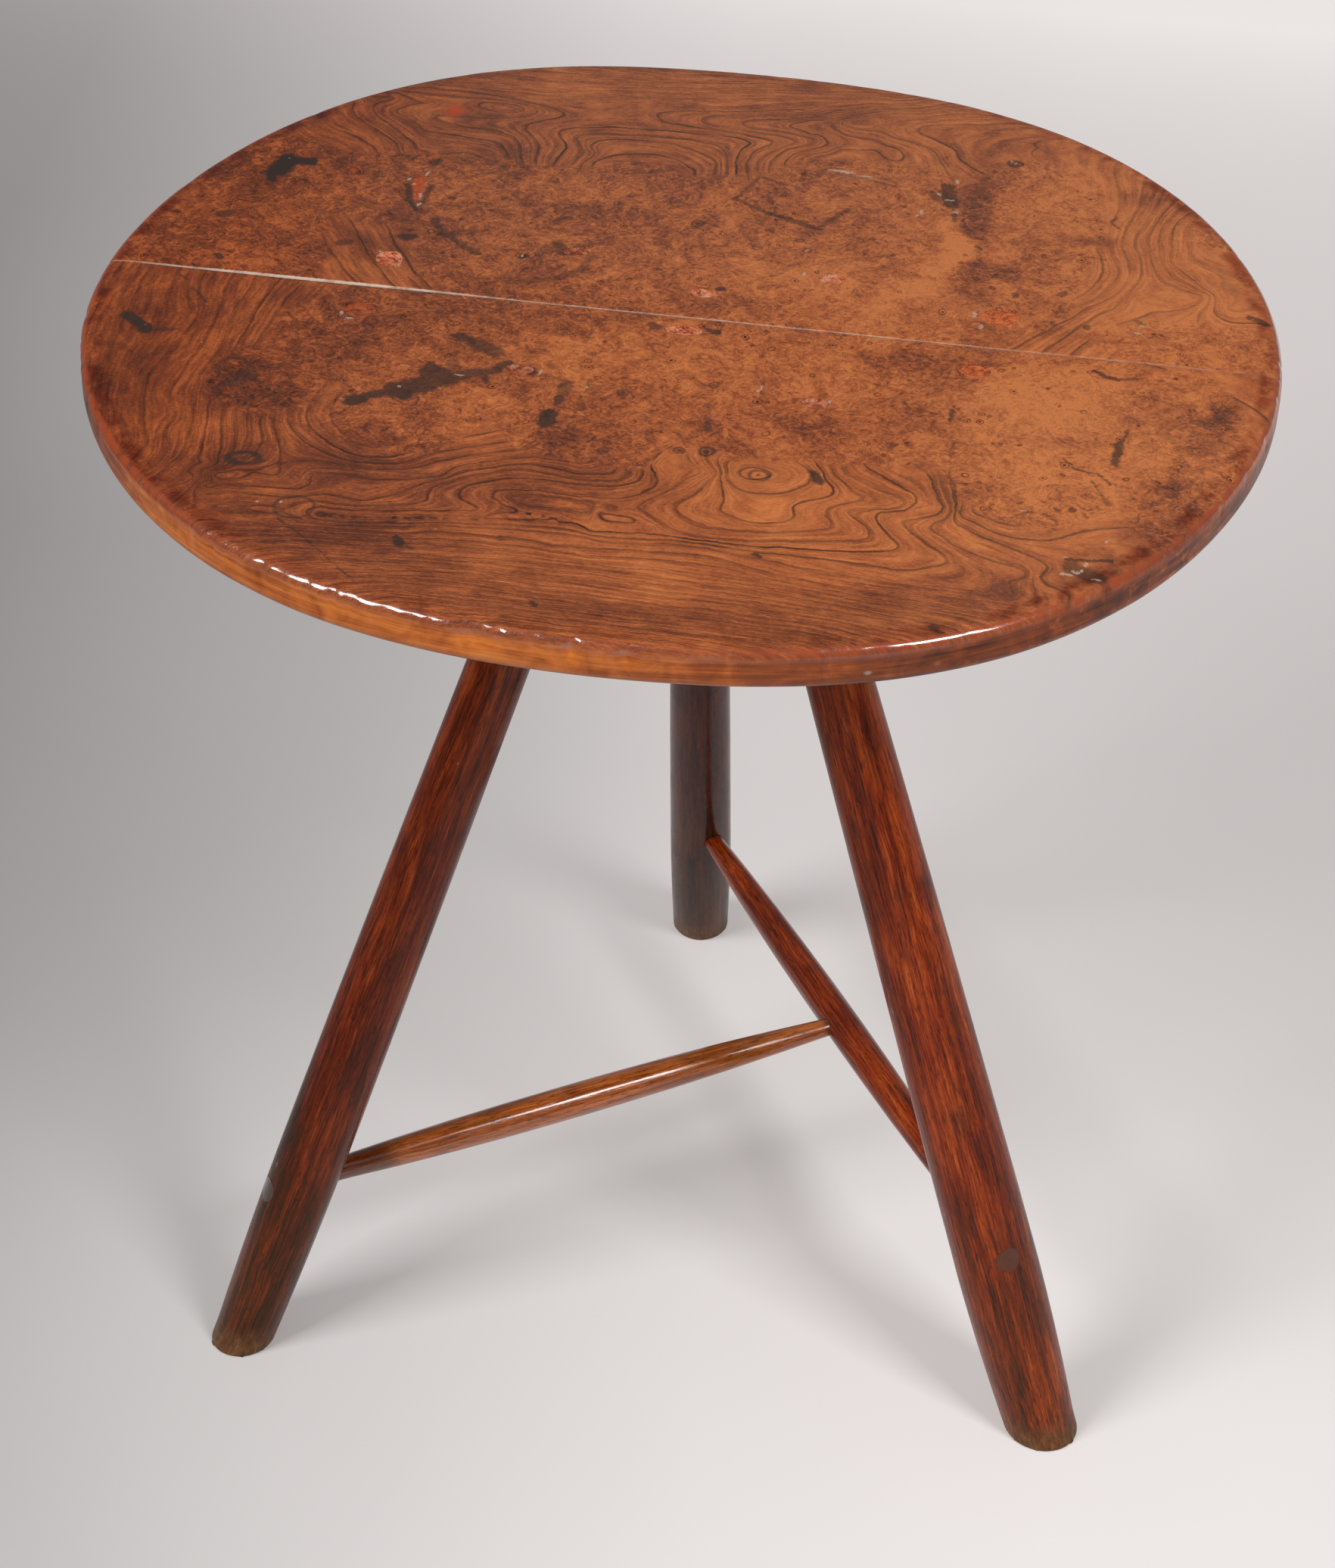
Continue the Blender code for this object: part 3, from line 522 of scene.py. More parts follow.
        (228, -201, 3.2, 1.0), (223, -190, 1.2, 1.6), (-170, -212, 2.0, 1.0), (-160, -210, 1.2, 1.2),
        (-101, -84, 4.0, 0.8), (-128, -100, 1.0, 1.6), (-173, -36, 1.0, 3.0), (-62, -74, 1.0, 2.6),
        (86, -74, 1.2, 2.6), (9, -22, 2.6, 1.0), (214, -199, 3.6, 1.2), (221, -194, 1.0, 1.6),
        (226, -201, 2.0, 0.8), (190, -151, 2.4, 0.8), (231, -171, 0.8, 1.6), (212, -187, 2.4, 0.6),
    ),
)
REAR_FIGURE = Figure(
    lobes=(
        (20, 50, 178, 96), (-140, 98, 112, 44), (-46, 136, 26, 16), (78, 140, 62, 40), (170, 138, 42, 60),
        (-245, 90, 44, 56), (182, 70, 22, 40), (266, 128, 12, 12), (-250, 14, 56, 60), (262, 14, 54, 26),
    ),
    rings=(
        (1, (-75, 146), (-68, 154), (-54, 160), (-40, 161), (-28, 156), (-19, 148)),
        (2, (-77, 154), (-80, 163), (-77, 171), (-65, 175), (-48, 176), (-32, 174), (-20, 168), (-10, 160),
         (-8, 148)),
        (3, (-86, 145), (-83, 157), (-87, 165), (-89, 174), (-82, 179), (-60, 181), (-30, 182), (-12, 178),
         (-4, 166), (-2, 154)),
        (4, (-96, 147), (-94, 155), (-95, 165), (-100, 173), (-99, 181), (-88, 185), (-75, 188),
         (-50, 190), (-22, 190), (-2, 190), (6, 186), (2, 174), (2, 162)),
        (5, (90, 250), (60, 243), (38, 237), (20, 231), (0, 224), (-30, 218), (-45, 214), (-49, 205),
         (-42, 199), (-10, 196), (10, 192), (18, 188), (10, 176), (8, 160)),
        (5, (-200, 214), (-160, 215), (-140, 212), (-120, 208), (-106, 203), (-102, 196), (-112, 189),
         (-120, 181), (-119, 175), (-113, 168), (-109, 161), (-108, 150), (-107, 143)),
        (6, (46, 226), (20, 222), (0, 217), (-20, 213), (-24, 208), (-20, 202), (0, 199), (22, 196),
         (30, 190), (20, 178), (14, 166)),
        (6, (-195, 208), (-165, 209), (-140, 209), (-122, 205), (-117, 198), (-127, 190), (-140, 186),
         (-160, 184), (-174, 181), (-165, 176), (-150, 173), (-135, 172), (-124, 166), (-119, 155),
         (-116, 145)),
        (7, (54, 230), (22, 218), (5, 213), (-1, 208), (3, 203), (28, 200), (40, 196), (39, 190),
         (28, 182)),
        (7, (-182, 196), (-190, 192), (-196, 185), (-190, 178), (-180, 171), (-176, 165), (-160, 163),
         (-145, 161), (-132, 158), (-126, 150), (-121, 140)),
        (7, (-152, 199), (-140, 194), (-128, 197), (-128, 203), (-140, 205), (-150, 204)),
        (8, (66, 233), (42, 221), (27, 213), (25, 209), (38, 202), (48, 196), (50, 192), (40, 184)),
        (8, (-202, 200), (-210, 188), (-207, 178), (-198, 169), (-188, 160), (-179, 150), (-175, 143)),
        (9, (84, 238), (58, 228), (48, 220), (48, 213), (58, 205), (76, 200), (86, 196), (76, 191),
         (58, 188)),
        (9, (-222, 190), (-220, 178), (-213, 170), (-205, 163), (-196, 155), (-187, 147)),
        (10, (120, 243), (90, 231), (76, 221), (74, 214), (84, 208), (100, 202), (110, 194), (115, 182)),
        (10, (-240, 172), (-232, 163), (-224, 156)),
        (11, (140, 234), (120, 226), (104, 220), (101, 214), (110, 208), (120, 200), (124, 190)),
        (4, (-180, 220), (-150, 219), (-120, 217), (-95, 219), (-60, 226), (-30, 230), (0, 236), (30, 243),
         (70, 252)),
        (3, (-160, 229), (-120, 227), (-90, 232), (-60, 234), (-30, 238), (0, 244), (30, 250)),
        (2, (-140, 238), (-90, 241), (-50, 242), (-20, 247), (20, 254), (60, 259)),
        (12, (209, 95), (211, 83), (208, 67), (202, 55)),
        (13, (214, 97), (219, 85), (218, 71), (212, 57), (202, 45)),
        (14, (221, 103), (225, 87), (224, 71), (218, 57), (206, 43)),
        (15, (228, 103), (231, 87), (230, 75), (226, 61), (219, 43)),
        (16, (241, 155), (236, 139), (232, 119), (234, 107), (238, 87), (242, 77), (254, 69), (264, 63)),
        (17, (248, 157), (243, 147), (239, 130), (240, 107), (244, 91), (248, 81), (258, 75), (268, 67)),
        (18, (246, 99), (254, 87), (262, 77), (270, 67), (271, 59)),
        (19, (260, 99), (270, 91), (279, 79), (282, 67), (279, 55)),
        (17, (230, 11), (250, 15), (270, 23), (290, 31)),
    ),
    strokes=(
        (-245, 103, -242, 117, 6.4, 0.99), (-241, 116, -229, 117, 4.0, 0.98),
        (-247, 99, -246, 94, 3.0, 0.97), (-148, 66, -140, 55, 2.4, 0.66), (-140, 55, -118, 36, 2.6, 0.60),
        (-158, 104, -159, 84, 2.0, 0.60), (-163, 129, -162, 132, 2.8, 0.70),
        (-171, 103, -166, 86, 1.9, 0.80), (-166, 86, -160, 76, 1.7, 0.80), (-160, 46, -157, 46, 3.6, 0.84),
        (-262, 52, -258, 53, 3.6, 0.66), (-191, 34, -188, 35, 3.2, 0.55), (-253, 8, -251, 6, 2.2, 0.80),
        (-191, 112, -189, 113, 2.6, 0.40), (-74, 47, -77, 55, 3.4, 0.66), (-58, 44, -60, 32, 2.4, 0.40),
        (-60, 32, -68, 22, 3.0, 0.45), (-68, 22, -85, 12, 2.6, 0.38), (33, 141, 18, 148, 1.2, 0.50),
        (18, 148, 8, 120, 1.4, 0.52), (8, 120, 30, 108, 1.6, 0.55), (30, 108, 57, 97, 2.2, 0.68),
        (57, 97, 70, 120, 1.9, 0.58), (121, 158, 125, 138, 4.4, 0.74), (113, 149, 117, 141, 3.0, 0.45),
        (126, 140, 128, 120, 1.6, 0.60), (216, 129, 212, 136, 1.1, 0.62), (212, 136, 214, 141, 1.0, 0.55),
        (168, 48, 168, 50, 2.4, 0.60), (191, 53, 193, 55, 2.4, 0.60), (143, 94, 145, 93, 1.5, 0.60),
        (207, 22, 207, 24, 2.0, 0.60), (190, 21, 190, 24, 1.4, 0.50), (298, 44, 291, 48, 2.6, 0.70),
        (-94, 38, -93, 39, 2.2, 0.80), (14, 24, 16, 25, 2.4, 0.75), (-137, 33, -136, 35, 1.4, 0.70),
        (198, 96, 212, 93, 0.7, 0.50), (78, 156, 92, 151, 0.9, 0.45), (232, 34, 235, 31, 1.2, 0.60),
        (240, 18, 241, 23, 1.0, 0.60), (-53, 101, -52, 105, 1.8, 0.50),
    ),
    clouds=(
        (141, 53, 16, 20, -0.42), (156, 74, 20, 14, -0.34), (140, 130, 11, 70, -0.36),
        (132, 92, 9, 24, 0.60), (126, 62, 14, 20, 0.36), (120, 40, 24, 14, 0.26), (85, 45, 80, 50, 0.16),
        (252, 40, 46, 34, 0.12), (180, 150, 40, 60, 0.16), (30, 30, 90, 34, 0.12),
        (-75, 22, 24, 18, -0.20), (-230, 6, 60, 20, 0.12), (-150, 25, 34, 14, -0.16),
        (206, 112, 16, 10, -0.36), (224, 165, 22, 12, -0.26), (-60, 150, 60, 40, -0.08),
        (40, 222, 90, 18, -0.12), (-150, 150, 70, 50, -0.08), (120, 200, 60, 40, -0.10),
        (-75, 190, 50, 24, -0.10), (-215, 80, 60, 50, -0.02), (-150, 120, 30, 22, -0.10),
        (-75, 118, 44, 24, 0.16), (80, 122, 50, 26, 0.10),
    ),
    loops=(
        (155, 191, 3.4, 1.8, 0.85), (-7, 90, 3.0, 1.5, 0.80), (-82, 47, 3.2, 1.3, 0.60),
        (55, 73, 2.2, 1.1, 0.60), (28, 72, 2.6, 1.2, 0.50), (-185, 66, 2.4, 1.2, 0.45),
    ),
    flecks=(
        (62, 164, 9.0, 1.5), (74, 161, 6.0, 1.2), (126, 164, 1.6, 3.4), (118, 149, 1.6, 2.6),
        (124, 144, 2.8, 1.2), (128, 130, 2.2, 1.4), (110, 125, 1.6, 2.6), (108, 122, 1.2, 1.2),
        (155, 192, 0.9, 2.0), (-162, 93, 1.0, 5.0), (-171, 109, 1.4, 2.2), (-168, 105, 1.2, 1.2),
        (-160, 82, 1.4, 2.2), (-94, 39, 1.0, 1.6), (110, 127, 1.0, 2.4), (235, 30, 1.6, 1.2),
        (233, 22, 2.2, 1.0), (-163, 117, 1.0, 4.0), (153, 194, 1.4, 1.0), (55, 73, 1.0, 1.4),
        (149, 25, 1.2, 4.0), (153, 13, 1.6, 3.0), (-156, 18, 1.4, 4.0), (-168, 28, 2.6, 1.2),
        (56, 48, 1.2, 3.0), (12, 18, 2.6, 1.2), (-60, 50, 1.4, 2.6),
    ),
)
SMALL_KNOT = 3.5
RED_SPOTS = (
    (-164, 191, 5.5, 8.0), (-166, 106, 3.0, 8.0), (-163, 95, 2.0, 7.0), (-204, 112, 2.0, 2.4),
)


def smooth_path(places):
    """Even points along a smooth line through given places."""
    points = np.array(places, dtype=float)
    padded = np.vstack([2 * points[0] - points[1], points, 2 * points[-1] - points[-2]])
    path = []
    for before, here, there, after in zip(padded, padded[1:], padded[2:], padded[3:]):
        parts = max(int(np.hypot(*(there - here)) / RING_STEP), 1)
        for share in np.linspace(0.0, 1.0, parts, endpoint=False):
            lean = (there - before) * share + (2 * before - 5 * here + 4 * there - after) * share ** 2
            path.append(here + (lean + (3 * here - before - 3 * there + after) * share ** 3) / 2)
    path.append(points[-1])
    return path


class RingSurface:
    """A smooth surface over a board, the whole levels of which run along its growth rings."""

    def __init__(self, rings):
        points, levels = [], []
        for level, *places in rings:
            path = smooth_path(places)
            points.extend(path)
            levels.extend([level] * len(path))
        self.points = np.array(points) / 100.0
        count = len(points)
        square = ((self.points[:, None] - self.points[None]) ** 2).sum(axis=2) + 1e-9
        plane = np.hstack([np.ones((count, 1)), self.points])
        system = np.zeros((count + 3, count + 3))
        system[:count, :count] = square * np.log(square) + np.eye(count) * RING_EASE
        system[:count, count:] = plane
        system[count:, :count] = plane.T
        self.weights = np.linalg.solve(system, np.append(levels, np.zeros(3)))

    def at(self, places):
        """Level and levels per millimetre at places in millimetres."""
        levels, paces = [], []
        for part in np.array_split(places / 100.0, max(len(places) // 4000, 1)):
            away = part[:, None] - self.points[None]
            square = (away ** 2).sum(axis=2) + 1e-9
            log = np.log(square)
            bend, plane = self.weights[:-3], self.weights[-3:]
            levels.append((square * log) @ bend + plane[0] + part @ plane[1:])
            slope = [(2 * away[:, :, axis] * (log + 1)) @ bend + plane[1 + axis] for axis in (0, 1)]
            paces.append(np.hypot(*slope) / 100.0)
        return np.concatenate(levels), np.concatenate(paces)


def burr_reach(lobes, places):
    """How far outside the burr each place is, in millimetres."""
    total = 0.0
    for lobe in lobes:
        unit = (places - lobe[:2]) / lobe[2:]
        share = np.hypot(*unit.T)
        steepness = np.maximum(np.hypot(*(unit / lobe[2:]).T), 0.0001)
        total = total + np.exp(-np.clip(share * (share - 1.0) / steepness, -60, 300) / BURR_BLEND)
    return -BURR_BLEND * np.log(total)


def write_figure(piece, figure, reach_at):
    """Stores a board's ring levels, its reach outside the burr and inside the outline on its mesh."""
    mesh = piece.data
    places = np.empty(len(mesh.vertices) * 3)
    mesh.vertices.foreach_get("co", places)
    flat_places = places.reshape(-1, 3)[:, :2] / MM
    levels, paces = RingSurface(figure.rings).at(flat_places)
    arms = flat_places - (TOP_MIDDLE.x / MM, TOP_MIDDLE.y / MM)
    outline = np.array([reach_at(math.atan2(arm[1], arm[0])) for arm in arms]) / MM
    for name, values in (("ring_level", levels), ("ring_pace", paces),
                         ("burr_reach", burr_reach(figure.lobes, flat_places)),
                         ("rim_reach", outline - np.hypot(*arms.T))):
        layer = mesh.attributes.new(name, "FLOAT", "POINT")
        layer.data.foreach_set("value", values.astype(np.float32))


def marks(r, fx, figure, place, ragged, fine):
    """Every dark stroke and knot of a board as one mask."""
    masks = []
    for x, y, end_x, end_y, half_width, depth in figure.strokes:
        mask = r.apply(fx["stroke"], Vector=place, Start=(x, y, 0.0), Along=(end_x - x, end_y - y, 0.0),
                       Half_Width=half_width, Softness=0.45 + 0.24 * half_width,
                       Ragged=ragged if half_width > 2.0 else fine)
        masks.append(mask * depth)
    for x, y, radius, width, depth, *squash in figure.loops:
        heart = radius * (0.95 if radius < SMALL_KNOT else 0.4)
        mask = r.apply(fx["loop"], Vector=place, Middle=(x, y, 0.0), Radius=radius, Width=width,
                       Heart=heart, Squash=squash[0] if squash else 1.0)
        masks.append(mask * depth)
    return r.most(*masks)


def patch(r, fx, place, spot, grow):
    """A soft patch about a spot, its reach grown a little."""
    x, y, reach_x, reach_y = spot[:4]
    return r.apply(fx["cloud"], Vector=place, Middle=(x, y, 0.0),
                   Reach=(reach_x * grow, reach_y * grow, 1000.0))


def patches(r, fx, spots, place):
    """The strongest of several small patches."""
    return r.most(*[patch(r, fx, place, spot, 1.5) for spot in spots])


def new_material(name):
    made = bpy.data.materials.new(name)
    made.use_nodes = True
    made.node_tree.nodes.clear()
    return made, Recipe(made.node_tree)


def finish_material(r, colour, roughness, height, coat=0.3, coat_roughness=0.12, metallic=0.0,
                    specular=0.35, coat_index=1.5):
    """Sends a finish to the shader. Heights are in millimetres."""
    bump = r.node("Bump", None, {"Strength": 1.0, "Distance": MM, "Height": height})
    shader = r.node("BsdfPrincipled", None, {
        "Base Color": colour, "Roughness": roughness, "Normal": r.wire(bump),
        "Coat Weight": coat, "Coat Roughness": coat_roughness, "Metallic": metallic,
        "Specular IOR Level": specular, "Coat IOR": coat_index,
    })
    out = r.node("OutputMaterial")
    r.tree.links.new(shader.outputs[0], out.inputs[0])


def waxed_joint(r, wood, x, y, fine_edge, colours):
    """Wood with a pale line of wax in the joint of the boards, and a painted shadow line beside it at the
    left.
    """
    off_joint = abs(y - JOINT_Y / MM)
    wax_width = r.ease(abs(x + 190.0), 120.0, 10.0, 0.9, 1.9)
    waxed = r.ease(off_joint + fine_edge * 0.4, wax_width, wax_width * 0.4)
    along_joint = r.ease(abs(x + 195.0), 110.0, 10.0, 0.0, 0.60)
    faint = r.ease(x, 300.0, 40.0, 0.20, 0.60)
    broken = r.ease(r.noise(r.join(x, 0.0, 0.0), 1 / 12.0, 3.0, 0.7), 0.30, 0.60, 0.35, 1.0)
    # Painted shadow: a dark line just in front of the joint, strongest at the left.
    seam_shadow = r.ease(abs(y - (JOINT_Y / MM - 1.7)), 1.1, 0.2)
    wood = r.blend(seam_shadow * along_joint, wood, colours["stain"])
    return r.blend(waxed * (along_joint + faint) * broken, wood, colours["wax"])


def band_wood(r, place, x, colours):
    """Wood of the top's edge, streaked along it and darker to the right, and the streaks alone."""
    streak = r.noise(r.stretched(place, (70.0, 46.0, 2.6)), 1.0, 4.0, 0.62, 0.5)
    mottle = r.noise(place, 1 / 15.0, 3.0, 0.6, 0.8)
    tone = 0.60 + (streak - 0.5) * 0.75 + (mottle - 0.5) * 0.50
    tone = tone - r.ease(x, -20.0, 170.0) * 0.32 - r.ease(x, -215.0, -285.0) * 0.34
    fresh = r.ease(x, 120.0, 220.0) * r.ease(r.noise(place, 1 / 9.0, 3.0, 0.6), 0.52, 0.66)
    wood = r.colours(tone + fresh * 0.22, (
        (0.16, colours["band_dark"]), (0.42, colours["band_red"]), (0.62, colours["band"]),
        (0.90, colours["band_gold"]),
    ))
    return wood, streak


def elm_material(name, fx, figure, colours):
    """Polished burr elm, with one board's own figure, knots and stains."""
    made, r = new_material(name)
    solid_place = r.here_mm()
    x, y, z = r.split(solid_place)
    place = r.join(x, y, 0.0)
    below = TOP_Z / MM - z

    drift = r.apply(fx["wander"], Vector=place, Size=36.0, Amount=13.0)
    drift = r.apply(fx["wander"], Vector=drift, Size=10.0, Amount=3.4)
    pace = r.stored("ring_pace")
    bends = (r.noise(place, 1 / 15.0, 2.0) - 0.5) * 3.0 + (r.noise(place, 1 / 3.4, 2.0) - 0.5) * 1.3
    straight = r.ease(abs(y + 5.0), 214.0, 228.0)
    level = r.stored("ring_level") + bends * pace
    uneven = r.noise(r.join(level * 0.9, 7.3, x / 160.0), 1.0, 1.0) - 0.5
    level = level + uneven * straight * 1.8
    lines = r.apply(fx["rings"], Level=level, Pace=pace, Width=1.7)
    fine_lines = r.apply(fx["rings"], Level=level * 2.7 + 0.4, Pace=pace * 2.7, Width=0.65)
    fibre = r.noise(r.join(level * 5.0, x / 22.0, y / 22.0), 1.0, 4.0, 0.65)
    hairs = r.noise(r.join(x / 15.0, y / 0.55, 0.0), 1.0, 2.0, 0.7)
    reach = r.stored("burr_reach") + (r.noise(drift, 1 / 12.0, 2.0) - 0.5) * 16.0
    outside = r.ease(reach, -6.0, 3.0)
    patchy = r.noise(place, 1 / 24.0, 2.0)
    line_weight = outside * r.ease(patchy, 0.30, 0.60, 0.55, 1.0) * r.ease(x, -250.0, -175.0, 0.45, 1.0)
    far_right = r.ease(y, 20.0, 60.0) * r.ease(x, 150.0, 190.0)
    line_weight = line_weight * (1.0 - straight * 0.45) * (1.0 - far_right * 0.45)

    broad = r.noise(place, 1 / 64.0, 2.0, 0.5)
    middling = r.noise(drift, 1 / 17.0, 3.0, 0.6, 1.2)
    curl = r.noise(drift, 1 / 4.6, 5.0, 0.64, 1.6)
    curly = r.mixed(outside, (curl - 0.5) * 1.15, (curl - 0.5) * 0.20 + (fibre - 0.5) * 0.80)
    tone = 0.53 + (broad - 0.5) * 0.45 + (middling - 0.5) * r.mixed(outside, 0.75, 0.34) + curly
    grain = r.noise(r.join(x / 2.4, y / 0.8, 0.0), 1.0, 2.0, 0.6)
    # The ramp along x makes the wood darker to the left and lighter to the right: partly the wood's own
    # tone, partly painted shade for light falling from the right.
    tone = tone + r.ramp_line(x, -300.0, 300.0, -0.19, 0.10) + (grain - 0.5) * 0.44
    for cloud in figure.clouds:
        tone = tone + patch(r, fx, drift, cloud, 1.35) * (cloud[4] * 0.7)
    tone = tone + 0.045 + outside * 0.04 + (hairs - 0.5) * straight * 0.70 + r.ease(y, 0.0, 60.0) * 0.025

    wood = r.colours(tone, (
        (0.14, colours["deep"]), (0.40, colours["brown"]), (0.60, colours["orange"]),
        (0.86, colours["golden"]),
    ))
    contour = r.apply(fx["rings"], Level=middling * 14.0, Pace=0.45, Width=0.9)
    inside = 1.0 - outside
    wood = r.tinted(contour * inside * 0.30, wood, (0.36, 0.26, 0.22))
    wood = r.tinted(lines * line_weight, wood, (0.21, 0.21, 0.26))
    wood = r.tinted(fine_lines * line_weight * (0.45 + straight * 0.35), wood, (0.42, 0.34, 0.32))
    # Painted sheen: a faint grey-blue lift that grows towards the rear and is weaker at the far left,
    # standing in for the polish reflecting the pale studio.
    painted_sheen = r.ease(y, -40.0, 70.0, 0.42, 1.0) + r.ramp_line(y, 70.0, 280.0, 0.0, 0.5)
    painted_sheen = painted_sheen * r.ease(x, -260.0, -90.0, 0.25, 0.70)
    wood = r.blend(painted_sheen, wood, (0.000, 0.017, 0.018), "ADD")
    ruddy = r.ease(x, -150.0, -240.0)
    wood = r.tinted(ruddy, wood, (1.00, 0.90, 0.78))
    # Painted sheen at the right front: a faint grey-green lift standing in for reflected light.
    painted_sheen_right = r.ease(x, 90.0, 200.0) * r.ease(y, 0.0, -60.0)
    wood = r.blend(painted_sheen_right * 0.5, wood, (0.000, 0.018, 0.014), "ADD")

    clustered = r.ease(r.noise(place, 1 / 30.0, 1.0), 0.38, 0.56)
    pips = r.apply(fx["pips"], Vector=drift, Size=7.4, Share=0.50)
    wood = r.tinted(pips * clustered * r.mixed(outside, 1.0, 0.05), wood, (0.20, 0.14, 0.12))
    pores = r.apply(fx["specks"], Vector=place, Size=2.2, Share=0.34)
    wood = r.tinted(pores * r.mixed(outside, 0.60, 0.35), wood, (0.28, 0.22, 0.18))

    bent = r.apply(fx["wander"], Vector=place, Size=13.0, Amount=4.5)
    rough_edge = (r.noise(place, 1 / 4.6, 3.0, 0.62) - 0.5) * 5.5
    fine_edge = (r.noise(place, 1 / 2.4, 2.0, 0.6) - 0.5) * 3.0
    dark = marks(r, fx, figure, bent, rough_edge, fine_edge)
    wood = r.blend(dark, wood, colours["stain"])
    reds = patches(r, fx, RED_SPOTS, r.vector("ADD", place, r.join(fine_edge, rough_edge, 0.0)))
    wood = r.blend(reds * 0.85, wood, colours["red"])
    pale = patches(r, fx, figure.flecks, r.vector("ADD", bent, r.join(fine_edge, fine_edge, 0.0)))
    pale = pale * r.ease(fine_edge, -0.7, 0.5)
    crumbs = r.apply(fx["specks"], Vector=place, Size=5.5, Share=0.035)
    wood = r.blend(r.most(r.ease(pale, 0.15, 0.45), crumbs * 0.5) * 0.62, wood,
                   colours["dust"])

    wood = waxed_joint(r, wood, x, y, fine_edge, colours)

    rim = r.stored("rim_reach")
    upper = r.ease(below, 9.0, 6.0)
    side = r.ease(below, 3.0, 7.5)
    side_wood, side_streak = band_wood(r, solid_place, x, colours)
    wood = r.blend(side, wood, side_wood)
    arris = r.ease(abs(rim - 1.9), 2.6, 0.4) * upper
    shade = r.ease(abs(rim - 7.5), 7.0, 1.0) * upper
    shade = shade * r.ease(r.noise(solid_place, 1 / 16.0, 3.0, 0.6), 0.36, 0.60)
    flanks = r.ease(abs(x + 10.0), 120.0, 230.0, 0.35, 0.85)
    wood = r.tinted(shade * flanks, wood, (0.46, 0.22, 0.18))
    rubbed = arris * r.ease(r.noise(solid_place, 1 / 9.0, 3.0, 0.65), 0.30, 0.56)
    rubbed = rubbed * r.ease(abs(x + 60.0), 80.0, 200.0, 0.35, 1.0)
    wood = r.blend(rubbed * 0.85, wood, colours["rubbed"])
    chips = r.apply(fx["specks"], Vector=r.stretched(solid_place, (1.6, 1.2, 1.0)), Size=9.0, Share=0.12)
    band = r.ease(below, 0.6, 3.0)
    wood = r.blend(chips * band * 0.75, wood, colours["dust"])
    under = r.ease(below, TOP_THICKNESS / MM - 3.0, TOP_THICKNESS / MM - 0.5)
    wood = r.blend(under * 0.85, wood, colours["unpolished"])

    roughness = 0.30 + (middling - 0.5) * 0.16 + dark * 0.10 + lines * line_weight * 0.10 + under * 0.35
    scratch = r.noise(r.stretched(place, (24.0, 1.2, 1.0), turn=(0.0, 0.0, 0.5)), 1.0, 2.0, 0.6)
    height = (curl - 0.5) * 0.10 + (r.noise(place, 1 / 9.0, 2.0) - 0.5) * 0.16
    height = height - pores * 0.05 + (scratch - 0.5) * 0.05 + (side_streak - 0.5) * side * 0.12
    roughness = roughness - arris * 0.08
    knocks = r.noise(solid_place, 1 / 5.5, 3.0, 0.6) - 0.5
    height = height + knocks * r.ease(rim, 7.0, 3.5) * upper * r.mixed(r.ease(x, 0.0, 80.0), 0.95, 0.28)
    coat = r.mixed(side, 0.10, 0.05) + arris * 0.62
    coat = coat * (1.0 - side * r.ease(x, 120.0, 220.0) * 0.7) * (1.0 - r.ease(x, -205.0, -270.0) * 0.75)
    finish_material(r, wood, roughness, height, coat, 0.10, 0.0, 0.18, 2.0)
    return made


def filler_material(fx, colours):
    """Old red stopping: crazed, dished and dusty at its rim."""
    made, r = new_material("Red stopping")
    place = r.here_mm()
    x, y = r.split(place)[:2]
    mottle = r.noise(place, 1 / 4.5, 4.0, 0.65, 0.8)
    polished = r.colours(mottle, (
        (0.34, colours["filler_dark"]), (0.48, colours["filler"]), (0.70, colours["filler_pale"]),
    ))
    chalky = r.colours(mottle, (
        (0.36, colours["filler_dark"]), (0.48, colours["filler_pink"]), (0.62, colours["filler_chalk"]),
    ))
    on_left = r.ease(x, -120.0, -140.0) * r.ease(y, 0.0, -10.0)
    warm = r.most(r.ease(x, 120.0, 140.0), on_left)
    colour = r.blend(warm, chalky, polished)
    other_rear = r.ease(x, -120.0, -140.0) * r.ease(y, 0.0, 10.0)
    dull = r.ease(x, -40.0, -55.0) * (1.0 - other_rear)
    dull = r.most(dull, r.ease(y, -50.0, -62.0) * 0.6)
    colour = r.tinted(dull, colour, (0.62, 0.58, 0.58))
    crumbs = r.apply(fx["specks"], Vector=place, Size=2.4, Share=0.22)
    colour = r.blend(crumbs * 0.6, colour, colours["dust"])
    crack = r.node("TexVoronoi", {"feature": "DISTANCE_TO_EDGE"},
                   {"Vector": r.apply(fx["wander"], Vector=place, Size=3.0, Amount=2.0), "Scale": 1 / 6.0})
    crazed = r.ease(r.wire(crack, "Distance"), 0.035, 0.0)
    colour = r.blend(crazed * 0.7, colour, colours["stain"])
    height = (mottle - 0.5) * 0.35 - crazed * 0.12
    finish_material(r, colour, 0.46 + (mottle - 0.5) * 0.3, height, 0.12, 0.3)
    return made


